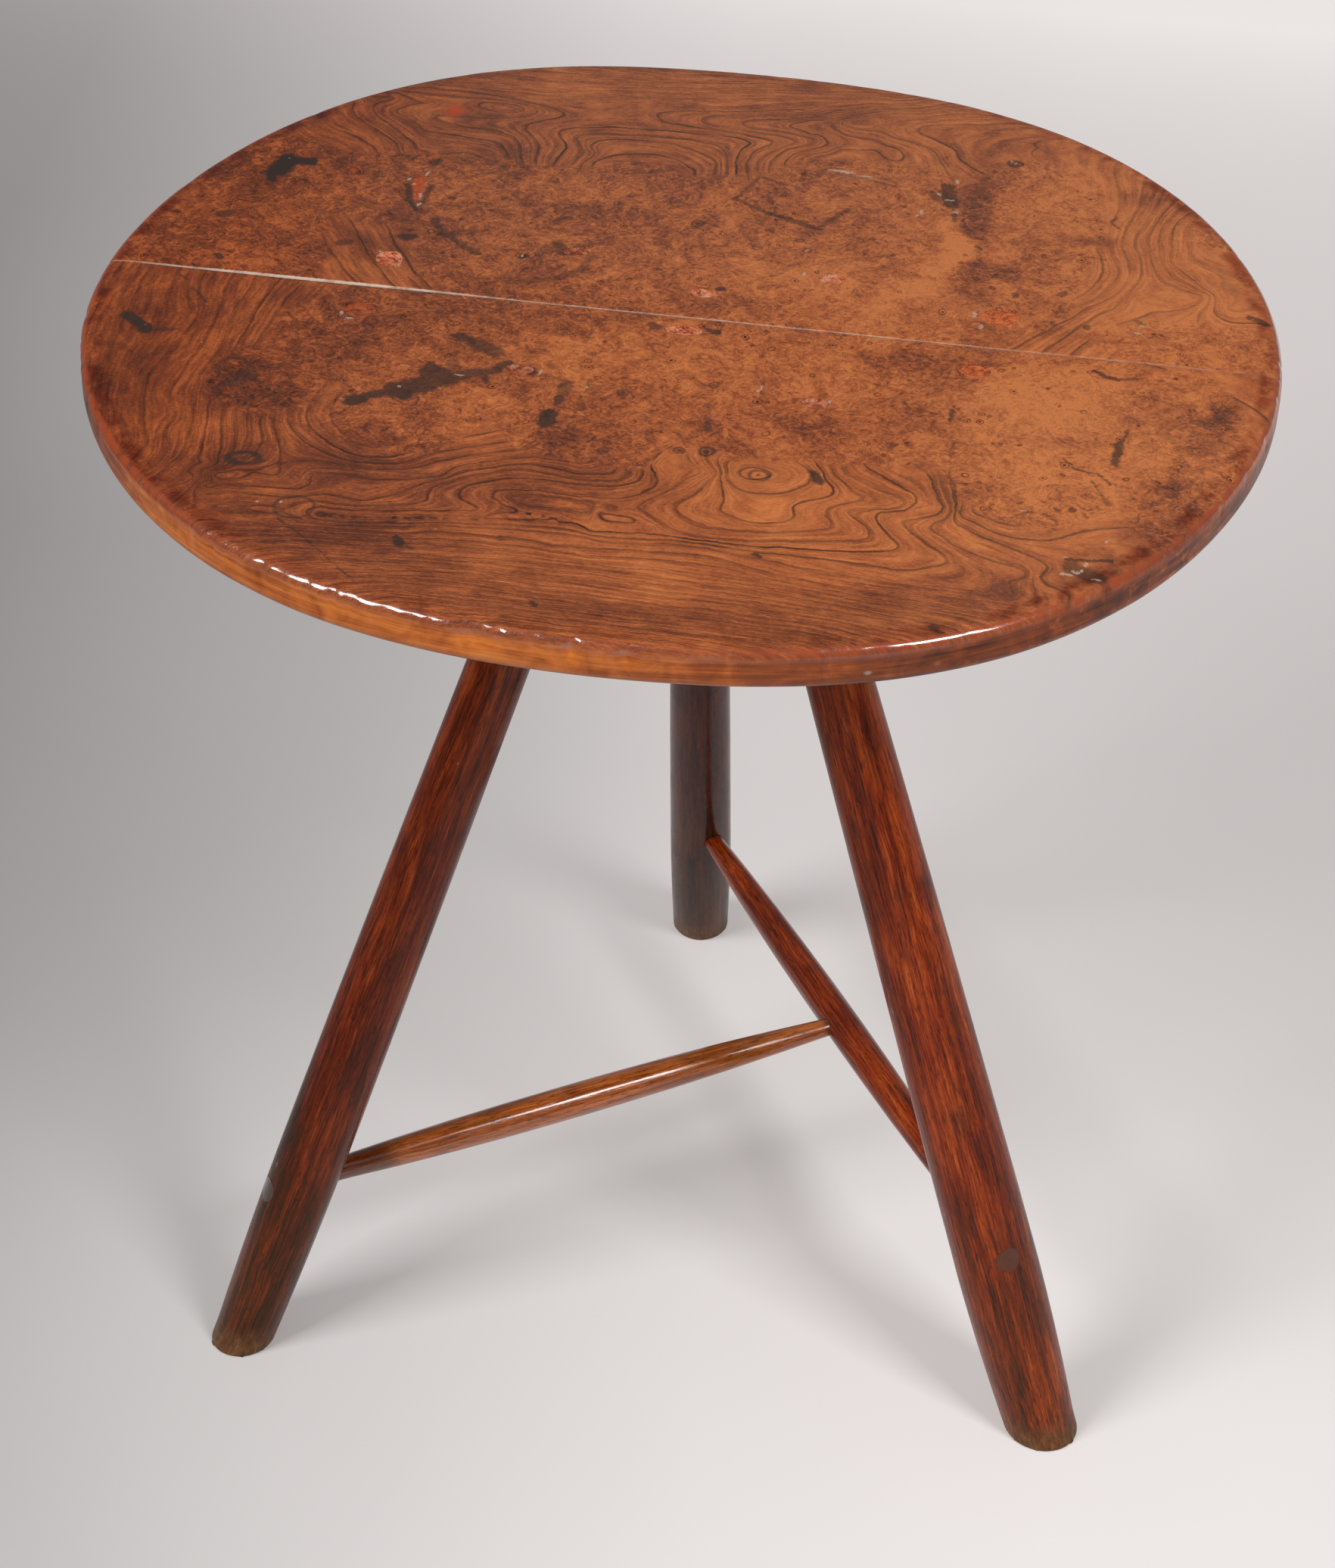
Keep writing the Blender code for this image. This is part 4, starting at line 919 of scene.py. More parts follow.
def stick_material(name, fx, member, tones, colours, foot=False, gloss=0.0, fall=0.0):
    """Shaved, polished hardwood with its fibres along the member."""
    made, r = new_material(name)
    coordinate = r.here()
    turn = member.along.to_track_quat("Z", "Y").to_euler()
    local = r.stretched(coordinate, (MM, MM, MM), tuple(member.foot), tuple(turn))
    drift = r.apply(fx["wander"], Vector=local, Size=60.0, Amount=4.5)
    long_streak = r.apply(fx["streaks"], Vector=drift, Across=4.0, Length=130.0)
    fine_streak = r.apply(fx["streaks"], Vector=drift, Across=0.9, Length=44.0)
    mottle = r.noise(r.stretched(drift, (8.0, 8.0, 40.0)), 1.0, 4.0, 0.62, 0.5)
    broad = r.noise(r.stretched(local, (30.0, 30.0, 90.0)), 1.0, 2.0)
    tone = 0.50 + (long_streak - 0.5) * 0.75 + (fine_streak - 0.5) * 0.85
    tone = tone + (mottle - 0.5) * 0.55 + (broad - 0.5) * 0.50
    rise = r.split(coordinate)[2] * 1000.0
    if fall:
        tone = tone + r.ramp_line(rise, 100.0, 550.0, -fall, fall)
    colour = r.colours(tone, (
        (0.18, tones[0]), (0.42, tones[1]), (0.60, tones[2]), (0.86, tones[3]),
    ))
    pores = r.apply(fx["pores"], Vector=drift, Across=0.85, Length=11.0)
    pores = pores * r.ease(r.noise(local, 1 / 22.0, 2.0), 0.36, 0.58, 0.25, 1.0)
    colour = r.tinted(pores * 0.70, colour, (0.26, 0.20, 0.18))
    grime = r.ease(r.noise(r.stretched(local, (12.0, 12.0, 34.0)), 1.0, 4.0, 0.66), 0.50, 0.72)
    colour = r.blend(grime * 0.50, colour, colours["grime"])
    flecks = r.noise(r.stretched(drift, (1.3, 1.3, 8.0)), 1.0, 2.0, 0.6)
    colour = r.tinted(r.ease(flecks, 0.56, 0.64) * 0.60, colour, (0.32, 0.24, 0.24))
    if foot:
        colour = r.blend(r.ease(rise, 230.0, 40.0) * 0.8, colour, (0.004, 0.013, 0.004), "ADD")
    else:
        travel = r.split(local)[2]
        whole = member.length * 1000.0
        ends = r.most(r.ease(travel, 16.0, 11.0), r.ease(travel, whole - 16.0, whole - 11.0))
        colour = r.blend(ends * 0.85, colour, colours["end_grain"])
        # Painted shade: darker wood a short way from the foot end, where the stretcher leaves its leg; its
        # depth goes with gloss.
        joint_shadow = r.ease(travel, 88.0, 67.0) * gloss
        colour = r.tinted(joint_shadow * 0.85, colour, (0.22, 0.16, 0.16))
    nicks = r.apply(fx["specks"], Vector=r.stretched(local, (1.0, 1.0, 1.8)), Size=7.0, Share=0.04)
    colour = r.blend(nicks * 0.35, colour, colours["dust"])
    height = (fine_streak - 0.5) * 0.10 - pores * 0.04 + (mottle - 0.5) * 0.16 - nicks * 0.06
    roughness = 0.30 + (mottle - 0.5) * 0.20 + grime * 0.10
    if foot:
        uneven = (r.noise(local, 1 / 9.0, 3.0, 0.6) - 0.5) * 18.0
        worn = r.ease(rise + uneven, 24.0, 4.0)
        scuffed = r.noise(r.stretched(local, (3.0, 3.0, 9.0)), 1.0, 4.0, 0.7)
        foot_wood = r.colours(scuffed, (
            (0.34, colours["foot_dark"]), (0.52, colours["foot"]), (0.70, colours["foot_pale"]),
        ))
        colour = r.blend(worn * 0.75, colour, foot_wood)
        roughness = roughness + worn * 0.20
        height = height + (scuffed - 0.5) * worn * 0.25
    finish_material(r, colour, roughness - 0.04 - gloss * 0.08, height, 0.16 + gloss * 0.6, 0.12, 0.0,
                    0.10 + gloss * 0.3)
    return made


def sawn_material(name, tones, colours, sizes=(90.0, 9.0, 5.0)):
    """Plain sawn and dirtied hardwood, as under a table top."""
    made, r = new_material(name)
    place = r.here_mm()
    grain = r.noise(r.stretched(place, sizes), 1.0, 4.0, 0.6, 0.4)
    fine = r.noise(r.stretched(place, (sizes[0] * 0.5, sizes[1] * 0.12, sizes[2] * 0.12)), 1.0, 3.0, 0.6)
    tone = 0.5 + (grain - 0.5) * 1.1 + (fine - 0.5) * 0.7
    colour = r.colours(tone, ((0.2, tones[0]), (0.5, tones[1]), (0.8, tones[2])))
    dirt = r.ease(r.noise(place, 1 / 34.0, 4.0, 0.65), 0.48, 0.72)
    colour = r.blend(dirt * 0.6, colour, colours["grime"])
    kerf = r.noise(r.stretched(place, (2.4, 60.0, 60.0)), 1.0, 2.0, 0.6)
    height = (fine - 0.5) * 0.25 + (kerf - 0.5) * 0.20
    finish_material(r, colour, 0.62 + (fine - 0.5) * 0.2, height, 0.05, 0.4)
    return made


def iron_material(colours):
    """Dark old iron with a little rust."""
    made, r = new_material("Old iron")
    place = r.here_mm()
    rust = r.ease(r.noise(place, 1 / 3.0, 4.0, 0.65), 0.45, 0.65)
    colour = r.blend(rust, colours["iron"], colours["rust"])
    pitted = r.noise(place, 1 / 0.8, 3.0, 0.6)
    finish_material(r, colour, 0.45 + rust * 0.35, (pitted - 0.5) * 0.12 + rust * 0.05, 0.0, 0.3, 0.75)
    return made


def finished_object(name, bm, material=None, slot=None, node=None, sharp=SHARP):
    """Turns a mesh in the making into a piece that rides on the table."""
    mesh = bpy.data.meshes.new(name)
    bm.to_mesh(mesh)
    bm.free()
    mesh.shade_smooth()
    mesh.set_sharp_from_angle(angle=sharp)
    piece = bpy.data.objects.new(name, mesh)
    bpy.context.scene.collection.objects.link(piece)
    if material is not None:
        mesh.materials.append(material)
    if slot is not None:
        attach(piece, ROOT)
        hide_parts(node)
    return piece


def merged_copy(node):
    """A welded copy of a node's triangles."""
    bm = bmesh.new()
    bm.from_mesh(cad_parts[node].data)
    bmesh.ops.remove_doubles(bm, verts=bm.verts, dist=0.01 * MM)
    return bm


def carve(piece, cutters):
    """Cuts closed cutters out of a piece and clears them away."""
    for cutter in cutters:
        cut = piece.modifiers.new("Cut", "BOOLEAN")
        cut.operation = "DIFFERENCE"
        cut.solver = "EXACT"
        cut.object = cutter
    evaluated = piece.evaluated_get(bpy.context.evaluated_depsgraph_get())
    carved = bpy.data.meshes.new_from_object(evaluated)
    carved.name = piece.name
    piece.modifiers.clear()
    piece.data = carved
    for cutter in cutters:
        bpy.data.objects.remove(cutter)


def round_patch(cells):
    """An even patch of quads with a round edge of unit radius."""
    bm = bmesh.new()
    bmesh.ops.create_grid(bm, x_segments=cells, y_segments=cells, size=1.0)
    for vert in bm.verts:
        x, y = vert.co.x, vert.co.y
        vert.co.x = x * math.sqrt(1.0 - y * y / 2.0)
        vert.co.y = y * math.sqrt(1.0 - x * x / 2.0)
    return bm


def top_outline():
    """The top's reach at each angle about its middle, measured on the frame's boards."""
    places = []
    for node in ("top_board_front", "top_board_rear"):
        low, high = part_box(node)
        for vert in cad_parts[node].data.vertices:
            in_band = low.z + LOWER_ROUND - EDGE_TUCK < vert.co.z < high.z - UPPER_ROUND + EDGE_TUCK
            arm = vert.co - TOP_MIDDLE
            reach = math.hypot(arm.x, arm.y)
            if in_band and reach > 0.8 * (TOP_REAR_HIGH.y - TOP_MIDDLE.y):
                places.append((math.atan2(arm.y, arm.x), reach))
    places.sort()
    angles = np.array([angle for angle, reach in places])
    reaches = np.array([reach for angle, reach in places])
    even = np.linspace(-math.pi, math.pi, 720, endpoint=False)
    waves = np.fft.rfft(np.interp(even, angles, reaches, period=2 * math.pi)) / len(even)

    def reach_at(angle):
        total = waves[0].real
        for count in range(1, OUTLINE_WAVES + 1):
            turned = waves[count] * complex(math.cos(count * (angle + math.pi)),
                                            math.sin(count * (angle + math.pi)))
            total += 2 * turned.real
        return total - EDGE_TUCK

    return reach_at


# Worn hollows of the top: middle, reach each way and depth
HOLLOWS = (
    (-165, 95, 9, 34, 0.9), (-163, 131, 6, 6, 1.2), (124, 150, 9, 17, 1.1), (66, 162, 17, 5, 0.8),
    (222, -197, 14, 8, 1.0), (-215, -105, 14, 16, 0.5), (-153, -217, 10, 8, 0.4), (155, 192, 7, 7, 0.5),
    (-94, 38, 4, 4, 0.8), (-158, 46, 7, 5, 0.4), (-240, 106, 12, 12, 0.2), (-72, 51, 7, 7, 0.5),
)


def surface_drop(x, y):
    """How far the worn top lies under the frame's flat top, in metres."""
    wide = noise.noise(Vector((x * 7.0, y * 7.0, 1.3)))
    near = noise.noise(Vector((x * 28.0, y * 28.0, 4.1)))
    drop = 0.34 + 0.30 * wide + 0.07 * near
    for middle_x, middle_y, reach_x, reach_y, depth in HOLLOWS:
        across = (x / MM - middle_x) / reach_x
        along = (y / MM - middle_y) / reach_y
        square = across * across + along * along
        if square < 6.0:
            rough = 1.0 + 0.5 * noise.noise(Vector((x * 300.0, y * 300.0, 2.0)))
            drop += depth * math.exp(-square * 1.4) * rough
    off_joint = (y - JOINT_Y) / JOINT_DIP_REACH
    drop += JOINT_DIP / MM * math.exp(-off_joint * off_joint)
    return max(drop, 0.0) * MM


def edge_fall(inside):
    """How far the top falls away where it is this far inside its rounded edge."""
    share = max(0.0, 1.0 - inside / EDGE_FALL_REACH)
    return EDGE_FALL * share * share


def edge_dents():
    """Seeded knocks along the upper arris: angle, width and depth."""
    chance = np.random.default_rng(SEED)
    dents = []
    for index in range(DENT_COUNT):
        frontward = chance.random() < 0.55
        angle = chance.normal(-1.62, 0.42) if frontward else chance.uniform(-math.pi, math.pi)
        depth = chance.uniform(0.15, 0.8) * MM
        if -1.35 < angle < -0.6:
            depth = depth * 0.25
        dents.append((angle, chance.uniform(2.0, 6.5) * MM, depth))
    return dents


def rim_profile():
    """Inset and drop of each ring from the flat of the top round to the underside."""
    steps = []
    turns = 6
    for count in range(1, turns + 1):
        turn = math.radians(90.0 * count / turns)
        steps.append((UPPER_ROUND * (1 - math.sin(turn)), UPPER_ROUND * (1 - math.cos(turn))))
    band_top, band_foot = UPPER_ROUND, TOP_THICKNESS - LOWER_ROUND
    for count in range(1, 5):
        steps.append((0.0, band_top + (band_foot - band_top) * count / 4))
    for count in range(1, turns + 1):
        turn = math.radians(90.0 * count / turns)
        steps.append((LOWER_ROUND * (1 - math.cos(turn)),
                      TOP_THICKNESS - LOWER_ROUND * (1 - math.sin(turn))))
    return steps


def grown_edges(bm, edges):
    """Extrudes edges, and gives the new vertices and edges."""
    grown = bmesh.ops.extrude_edge_only(bm, edges=edges)["geom"]
    return [[item for item in grown if isinstance(item, kind)]
            for kind in (bmesh.types.BMVert, bmesh.types.BMEdge)]


def round_top(angle, reach, height):
    """A place at an angle about the top's middle."""
    return Vector((TOP_MIDDLE.x + reach * math.cos(angle), TOP_MIDDLE.y + reach * math.sin(angle), height))


def whole_top(reach_at, cells):
    """The two boards as one worn, closed disc, before the joint is cut."""
    bm = round_patch(cells)
    rim_edges = [edge for edge in bm.edges if edge.is_boundary]
    for vert in bm.verts:
        angle = math.atan2(vert.co.y, vert.co.x)
        share = math.hypot(vert.co.x, vert.co.y)
        flat_reach = reach_at(angle) - UPPER_ROUND
        x = TOP_MIDDLE.x + share * flat_reach * math.cos(angle)
        y = TOP_MIDDLE.y + share * flat_reach * math.sin(angle)
        fall = edge_fall(flat_reach * (1.0 - share))
        vert.co = Vector((x, y, TOP_Z - surface_drop(x, y) - fall))
    dents = edge_dents()

    def knock(angle, reach):
        depth = 0.0
        for place, width, deep in dents:
            off = ((angle - place + math.pi) % (2 * math.pi) - math.pi) * reach / width
            if abs(off) < 2.2:
                depth += deep * math.exp(-off * off * 2.0)
        return depth

    rings = rim_profile()
    current = rim_edges
    for count, (inset, drop) in enumerate(rings):
        fresh, edges = grown_edges(bm, current)
        fading = max(0.0, 1.0 - drop / (2.2 * UPPER_ROUND))
        for vert in fresh:
            angle = math.atan2(vert.co.y - TOP_MIDDLE.y, vert.co.x - TOP_MIDDLE.x)
            reach = reach_at(angle)
            turn = math.pi * min(1.0, (drop + 0.3 * MM) / (2.4 * UPPER_ROUND))
            hit = knock(angle, reach) * math.sin(turn)
            near_by = Vector((math.cos(angle) * 9, math.sin(angle) * 9, drop * 160))
            wave = 0.20 * MM * (1 + noise.noise(near_by))
            if count == 0:
                wave = wave * 0.5
            out = reach - inset - hit - wave
            worn = 0.0
            if drop < TOP_THICKNESS - LOWER_ROUND:
                worn = (surface_drop(vert.co.x, vert.co.y) + EDGE_FALL) * fading
            height = TOP_Z - drop - worn - hit * 0.5
            if count == len(rings) - 1:
                height = TOP_Z - TOP_THICKNESS
            vert.co = round_top(angle, out, height)
        current = [edge for edge in edges if edge.is_boundary]
    for share in UNDERSIDE_RINGS:
        fresh, edges = grown_edges(bm, current)
        for vert in fresh:
            angle = math.atan2(vert.co.y - TOP_MIDDLE.y, vert.co.x - TOP_MIDDLE.x)
            vert.co = round_top(angle, (reach_at(angle) - LOWER_ROUND) * share, vert.co.z)
        current = [edge for edge in edges if edge.is_boundary]
    bmesh.ops.edgeloop_fill(bm, edges=current)
    bmesh.ops.recalc_face_normals(bm, faces=bm.faces)
    return bm


def sawn_off(bm, place, outward):
    """Cuts away what lies outward of a place, and closes the cut; returns its edges."""
    geom = list(bm.verts) + list(bm.edges) + list(bm.faces)
    cut = bmesh.ops.bisect_plane(bm, geom=geom, dist=0.001 * MM, plane_co=place, plane_no=outward,
                                 clear_outer=True)
    edges = [item for item in cut["geom_cut"] if isinstance(item, bmesh.types.BMEdge)]
    bmesh.ops.edgeloop_fill(bm, edges=edges)
    return edges


def cut_board(bm, wall_y, keep):
    """Keeps the half of the disc on one side of its joint."""
    sawn_off(bm, (0.0, wall_y, 0.0), (0.0, -keep, 0.0))
    bmesh.ops.recalc_face_normals(bm, faces=bm.faces)
    return bm


def filler_reach(node, angle):
    """The uneven outline of one stopped hole, within its node's box."""
    low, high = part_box(node)
    half_x, half_y = (high.x - low.x) / 2, (high.y - low.y) / 2
    round_reach = 1.0 / math.hypot(math.cos(angle) / half_x, math.sin(angle) / half_y)
    order = FILLERS.index(node.removeprefix("filler_"))
    wobble = noise.noise(Vector((math.cos(angle) * 1.1, math.sin(angle) * 1.1, order * 3.7)))
    ripple = noise.noise(Vector((math.cos(angle) * 3.1, math.sin(angle) * 3.1, order * 5.1 + 9.0)))
    return round_reach * (0.95 + 0.13 * wobble + 0.05 * ripple)


def filler_solid(node, grow, top_rise, floor_z):
    """A stopping, or the hole for it, from its worn top down to its seat."""
    low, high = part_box(node)
    middle = (low + high) / 2
    bm = round_patch(22)
    rim = [edge for edge in bm.edges if edge.is_boundary]
    order = FILLERS.index(node.removeprefix("filler_"))
    for vert in bm.verts:
        angle = math.atan2(vert.co.y, vert.co.x)
        share = math.hypot(vert.co.x, vert.co.y)
        reach = (filler_reach(node, angle) + grow) * share
        x = middle.x + reach * math.cos(angle)
        y = middle.y + reach * math.sin(angle)
        if top_rise is None:
            lump = noise.noise(Vector((x * 260.0, y * 260.0, order * 2.0)))
            dish = 0.30 - 0.22 * share * share + 0.20 * lump
            z = TOP_Z - surface_drop(x, y) - max(0.05, dish) * MM
        else:
            z = TOP_Z + top_rise
        vert.co = Vector((x, y, z))
    fresh, edges = grown_edges(bm, rim)
    for vert in fresh:
        vert.co.z = floor_z
    bmesh.ops.edgeloop_fill(bm, edges=[edge for edge in edges if edge.is_boundary])
    bmesh.ops.recalc_face_normals(bm, faces=bm.faces)
    return bm


def square_arms(along):
    """Two directions square to a member."""
    side = along.cross(Vector((0.31, 0.47, 0.83))).normalized()
    return side, along.cross(side).normalized()


def ring_hits(tree, place, along, rays=24):
    """Where rays from outside, square to a member, meet its solid."""
    side, other = square_arms(along)
    hits = []
    for count in range(rays):
        turn = 2 * math.pi * count / rays
        outward = side * math.cos(turn) + other * math.sin(turn)
        found = tree.ray_cast(place + outward * RAY_START, -outward)
        if found[0] is not None:
            hits.append(found[0])
    return hits


@functools.cache
def member_of(node):
    """Centre line and girth of a round member, read from the frame."""
    bm = merged_copy(node)
    tree = BVHTree.FromBMesh(bm)
    points = np.array([vert.co[:] for vert in bm.verts])
    bm.free()
    centre = points.mean(axis=0)
    axes = np.linalg.eigh(np.cov((points - centre).T))[1]
    along = Vector(axes[:, 2])
    if along.z < 0 or (abs(along.z) < 0.1 and along.x + along.y < 0):
        along = -along
    spans = (points - centre) @ np.array(along)
    low, high = spans.min(), spans.max()
    base = Vector(centre)
    for attempt in range(4):
        ends = []
        for share in (0.25, 0.80):
            place = base + along * (low + (high - low) * share)
            hits = ring_hits(tree, place, along)
            half = len(hits) // 2
            middles = [(hits[k] + hits[k + half]) / 2 for k in range(half)]
            ends.append(Vector(np.median(np.array([m[:] for m in middles]), axis=0)))
        along = (ends[1] - ends[0]).normalized()
        base = ends[0] + along * (Vector(centre) - ends[0]).dot(along)
        spans = (points - np.array(base)) @ np.array(along)
        low, high = spans.min(), spans.max()
    foot = base + along * low
    length = high - low

    stations = np.linspace(0.0, length, int(length / STATION_STEP) + 1)
    girths = []
    for station in stations:
        held = min(max(station, 0.02 * length), 0.985 * length)
        place = foot + along * held
        reaches = [(hit - place).length for hit in ring_hits(tree, place, along, 36)]
        girths.append(float(np.median(reaches)) if reaches else 0.0)

    def radius_at(station):
        return float(np.interp(station, stations, girths))

    return Member(foot, along, length, radius_at)


def turned_member(member, start, end, cap_rings=1, wander=FLAT_WANDER):
    """A round member spun about its centre line, with long hand-shaved flats."""
    side, other = square_arms(member.along)
    count = max(int((end - start) / STATION_STEP), 8)
    stations = [start + (end - start) * step / count for step in range(count + 1)]
    bm = bmesh.new()
    profile = []
    for ring in range(cap_rings):
        profile.append((start, member.radius_at(start) * ring / cap_rings))
    for station in stations:
        profile.append((station, member.radius_at(station)))
    for ring in reversed(range(cap_rings)):
        profile.append((end, member.radius_at(end) * ring / cap_rings))
    verts = [bm.verts.new(member.foot + member.along * station + side * reach)
             for station, reach in profile]
    edges = [bm.edges.new((first, second)) for first, second in zip(verts, verts[1:])]
    bmesh.ops.spin(
        bm, geom=verts + edges, cent=member.foot, axis=member.along, angle=2 * math.pi,
        steps=STICK_SIDES, use_merge=True, use_duplicate=False,
    )
    bmesh.ops.remove_doubles(bm, verts=bm.verts, dist=0.005 * MM)
    bmesh.ops.recalc_face_normals(bm, faces=bm.faces)
    for vert in bm.verts:
        arm = vert.co - member.foot
        station = arm.dot(member.along)
        out = arm - member.along * station
        reach = out.length
        if reach < 0.5 * MM:
            continue
        across, up = out.dot(side) / reach, out.dot(other) / reach
        flats = noise.noise(Vector((across * 2.4, up * 2.4, station * 5.0)))
        ripple = noise.noise(Vector((across * 6.0, up * 6.0, station * 22.0)))
        settled = min(1.0, max(0.0, min(station - start, end - station) / (50.0 * MM)))
        shaved = wander * (0.5 + 0.9 * flats + 0.22 * ripple) * settled
        vert.co = vert.co - out * (max(shaved, 0.0) / reach)
    return bm


def depth_to_leg(leg, origin, heading):
    """How far along a line the outer face of a round leg lies."""
    near, far = 0.0, 2 * PARE_SEARCH
    for attempt in range(24):
        middle = (near + far) / 2
        arm = origin + heading * middle - leg.foot
        station = arm.dot(leg.along)
        outside = (arm - leg.along * station).length > leg.radius_at(station)
        near, far = (middle, far) if outside else (near, middle)
    return near


def pare_ends(bm, rail, legs):
    """Pares a stretcher's through tenons to the outer faces of their legs."""
    for leg in legs:
        limit, outward = (0.0, -1.0) if at_foot(rail, leg) else (rail.length, 1.0)
        for vert in bm.verts:
            arm = vert.co - rail.foot
            station = arm.dot(rail.along)
            away = abs(station - limit) / PARE_REACH
            if away >= 1.0:
                continue
            out = arm - rail.along * station
            origin = rail.foot + rail.along * (limit + outward * PARE_SEARCH) + out
            depth = depth_to_leg(leg, origin, rail.along * -outward)
            face = outward * (PARE_SEARCH - depth - PARE_INSET)
            vert.co = vert.co + rail.along * (face * (1.0 - away))


def off_line(leg, place):
    """Distance of a place from a leg's centre line."""
    arm = place - leg.foot
    return (arm - leg.along * arm.dot(leg.along)).length


def at_foot(rail, leg):
    """Whether a stretcher meets a leg by its foot end."""
    tip = rail.foot + rail.along * rail.length
    return off_line(leg, rail.foot) < off_line(leg, tip)


class CricketTableSizes(bpy.types.PropertyGroup):
    """Sizes that a maker would change."""
    top_cells: bpy.props.IntProperty(
        name="Cells across the top", description="Quads across the worn top", default=300, min=60, max=320)
    key_strength: bpy.props.FloatProperty(
        name="Key strength", description="Power of the two soft lamps", default=40.0, min=0.0, unit="POWER")
    fill_strength: bpy.props.FloatProperty(
        name="Fill strength", description="Level of the studio's own light", default=0.20, min=0.0)
    floor_width: bpy.props.FloatProperty(
        name="Floor width", description="Width of the paper that the table stands on", default=24.0,
        min=4.0, unit="LENGTH")


def colour_property(title, text, default):
    return bpy.props.FloatVectorProperty(
        name=title, description=text, subtype="COLOR", size=3, min=0.0, max=1.0, default=default)


class CricketTableColours(bpy.types.PropertyGroup):
    """Colours of the finishes, in linear light."""
    deep: colour_property("Deep elm", "Darkest burr wood", (0.072, 0.0165, 0.009))
    brown: colour_property("Brown elm", "Common burr wood", (0.225, 0.050, 0.0155))
    orange: colour_property("Orange elm", "Warm polished wood", (0.425, 0.106, 0.028))
    golden: colour_property("Golden elm", "Palest polished wood", (0.640, 0.190, 0.050))
    # The stain colour also paints the shadow line beside the joint of the boards.
    stain: colour_property("Stain", "Ink and scorch marks", (0.036, 0.021, 0.017))
    red: colour_property("Red spot", "Red lead spots", (0.50, 0.060, 0.014))
    dust: colour_property("Dust", "Dust and pale bruises", (0.50, 0.42, 0.33))
    wax: colour_property("Joint wax", "Wax in the joint", (0.70, 0.54, 0.43))
    rubbed: colour_property("Rubbed edge", "Edge rubbed bright", (0.36, 0.052, 0.007))
    band: colour_property("Polished band", "Common wood of the edge", (0.60, 0.160, 0.030))
    band_gold: colour_property("Golden band", "Palest wood of the edge", (0.82, 0.285, 0.070))
    band_red: colour_property("Red band", "Redder wood of the edge", (0.31, 0.065, 0.012))
    band_dark: colour_property("Dark band", "Darkest wood of the edge", (0.085, 0.020, 0.009))
    unpolished: colour_property("Bare elm", "Unpolished underside", (0.20, 0.12, 0.065))
    grime: colour_property("Grime", "Old polish and dirt", (0.030, 0.014, 0.009))
    filler: colour_property("Stopping", "Red stopping", (0.56, 0.105, 0.024))
    filler_dark: colour_property("Dark stopping", "Stopping in shade", (0.24, 0.042, 0.014))
    filler_pale: colour_property("Pale stopping", "Rubbed stopping", (0.66, 0.190, 0.060))
    filler_pink: colour_property("Pink stopping", "Chalky red stopping", (0.62, 0.125, 0.046))
    filler_chalk: colour_property("Chalky stopping", "Palest stopping", (0.72, 0.320, 0.17))
    foot: colour_property("Worn foot", "Bare foot wood", (0.17, 0.078, 0.028))
    foot_dark: colour_property("Dark foot", "Dirty foot wood", (0.055, 0.024, 0.012))
    end_grain: colour_property("End grain", "Dirty end grain of the tenons", (0.090, 0.026, 0.010))
    foot_pale: colour_property("Pale foot", "Palest foot wood", (0.28, 0.150, 0.055))
    iron: colour_property("Iron", "Old screw iron", (0.09, 0.085, 0.08))
    rust: colour_property("Rust", "Rust on the screws", (0.16, 0.055, 0.022))


def sizes():
    return bpy.context.scene.cricket_table_sizes


def palette():
    """The colours by name."""
    store = bpy.context.scene.cricket_table_colours
    return {name: tuple(getattr(store, name)) for name in CricketTableColours.__annotations__}


RED_TONES = ((0.045, 0.007, 0.003), (0.200, 0.022, 0.003), (0.370, 0.052, 0.007), (0.60, 0.130, 0.024))
BROWN_TONES = ((0.030, 0.006, 0.002), (0.110, 0.013, 0.002), (0.215, 0.028, 0.004), (0.38, 0.070, 0.012))
DARK_TONES = ((0.022, 0.006, 0.004), (0.062, 0.012, 0.006), (0.105, 0.020, 0.008), (0.20, 0.044, 0.014))
AMBER_TONES = ((0.110, 0.022, 0.004), (0.370, 0.086, 0.014), (0.540, 0.146, 0.028), (0.72, 0.215, 0.045))
# Paper colours from left to right; the darker left is painted shade.
PAPER_TONES = (
    (0.0, (0.29, 0.283, 0.281)), (0.35, (0.64, 0.624, 0.618)), (0.65, (0.77, 0.740, 0.730)),
    (1.0, (0.80, 0.765, 0.755)),
)
BLOCK_TONES = ((0.060, 0.034, 0.018), (0.150, 0.085, 0.045), (0.240, 0.150, 0.085))
WEDGE_TONES = ((0.20, 0.12, 0.06), (0.36, 0.23, 0.12), (0.48, 0.33, 0.19))

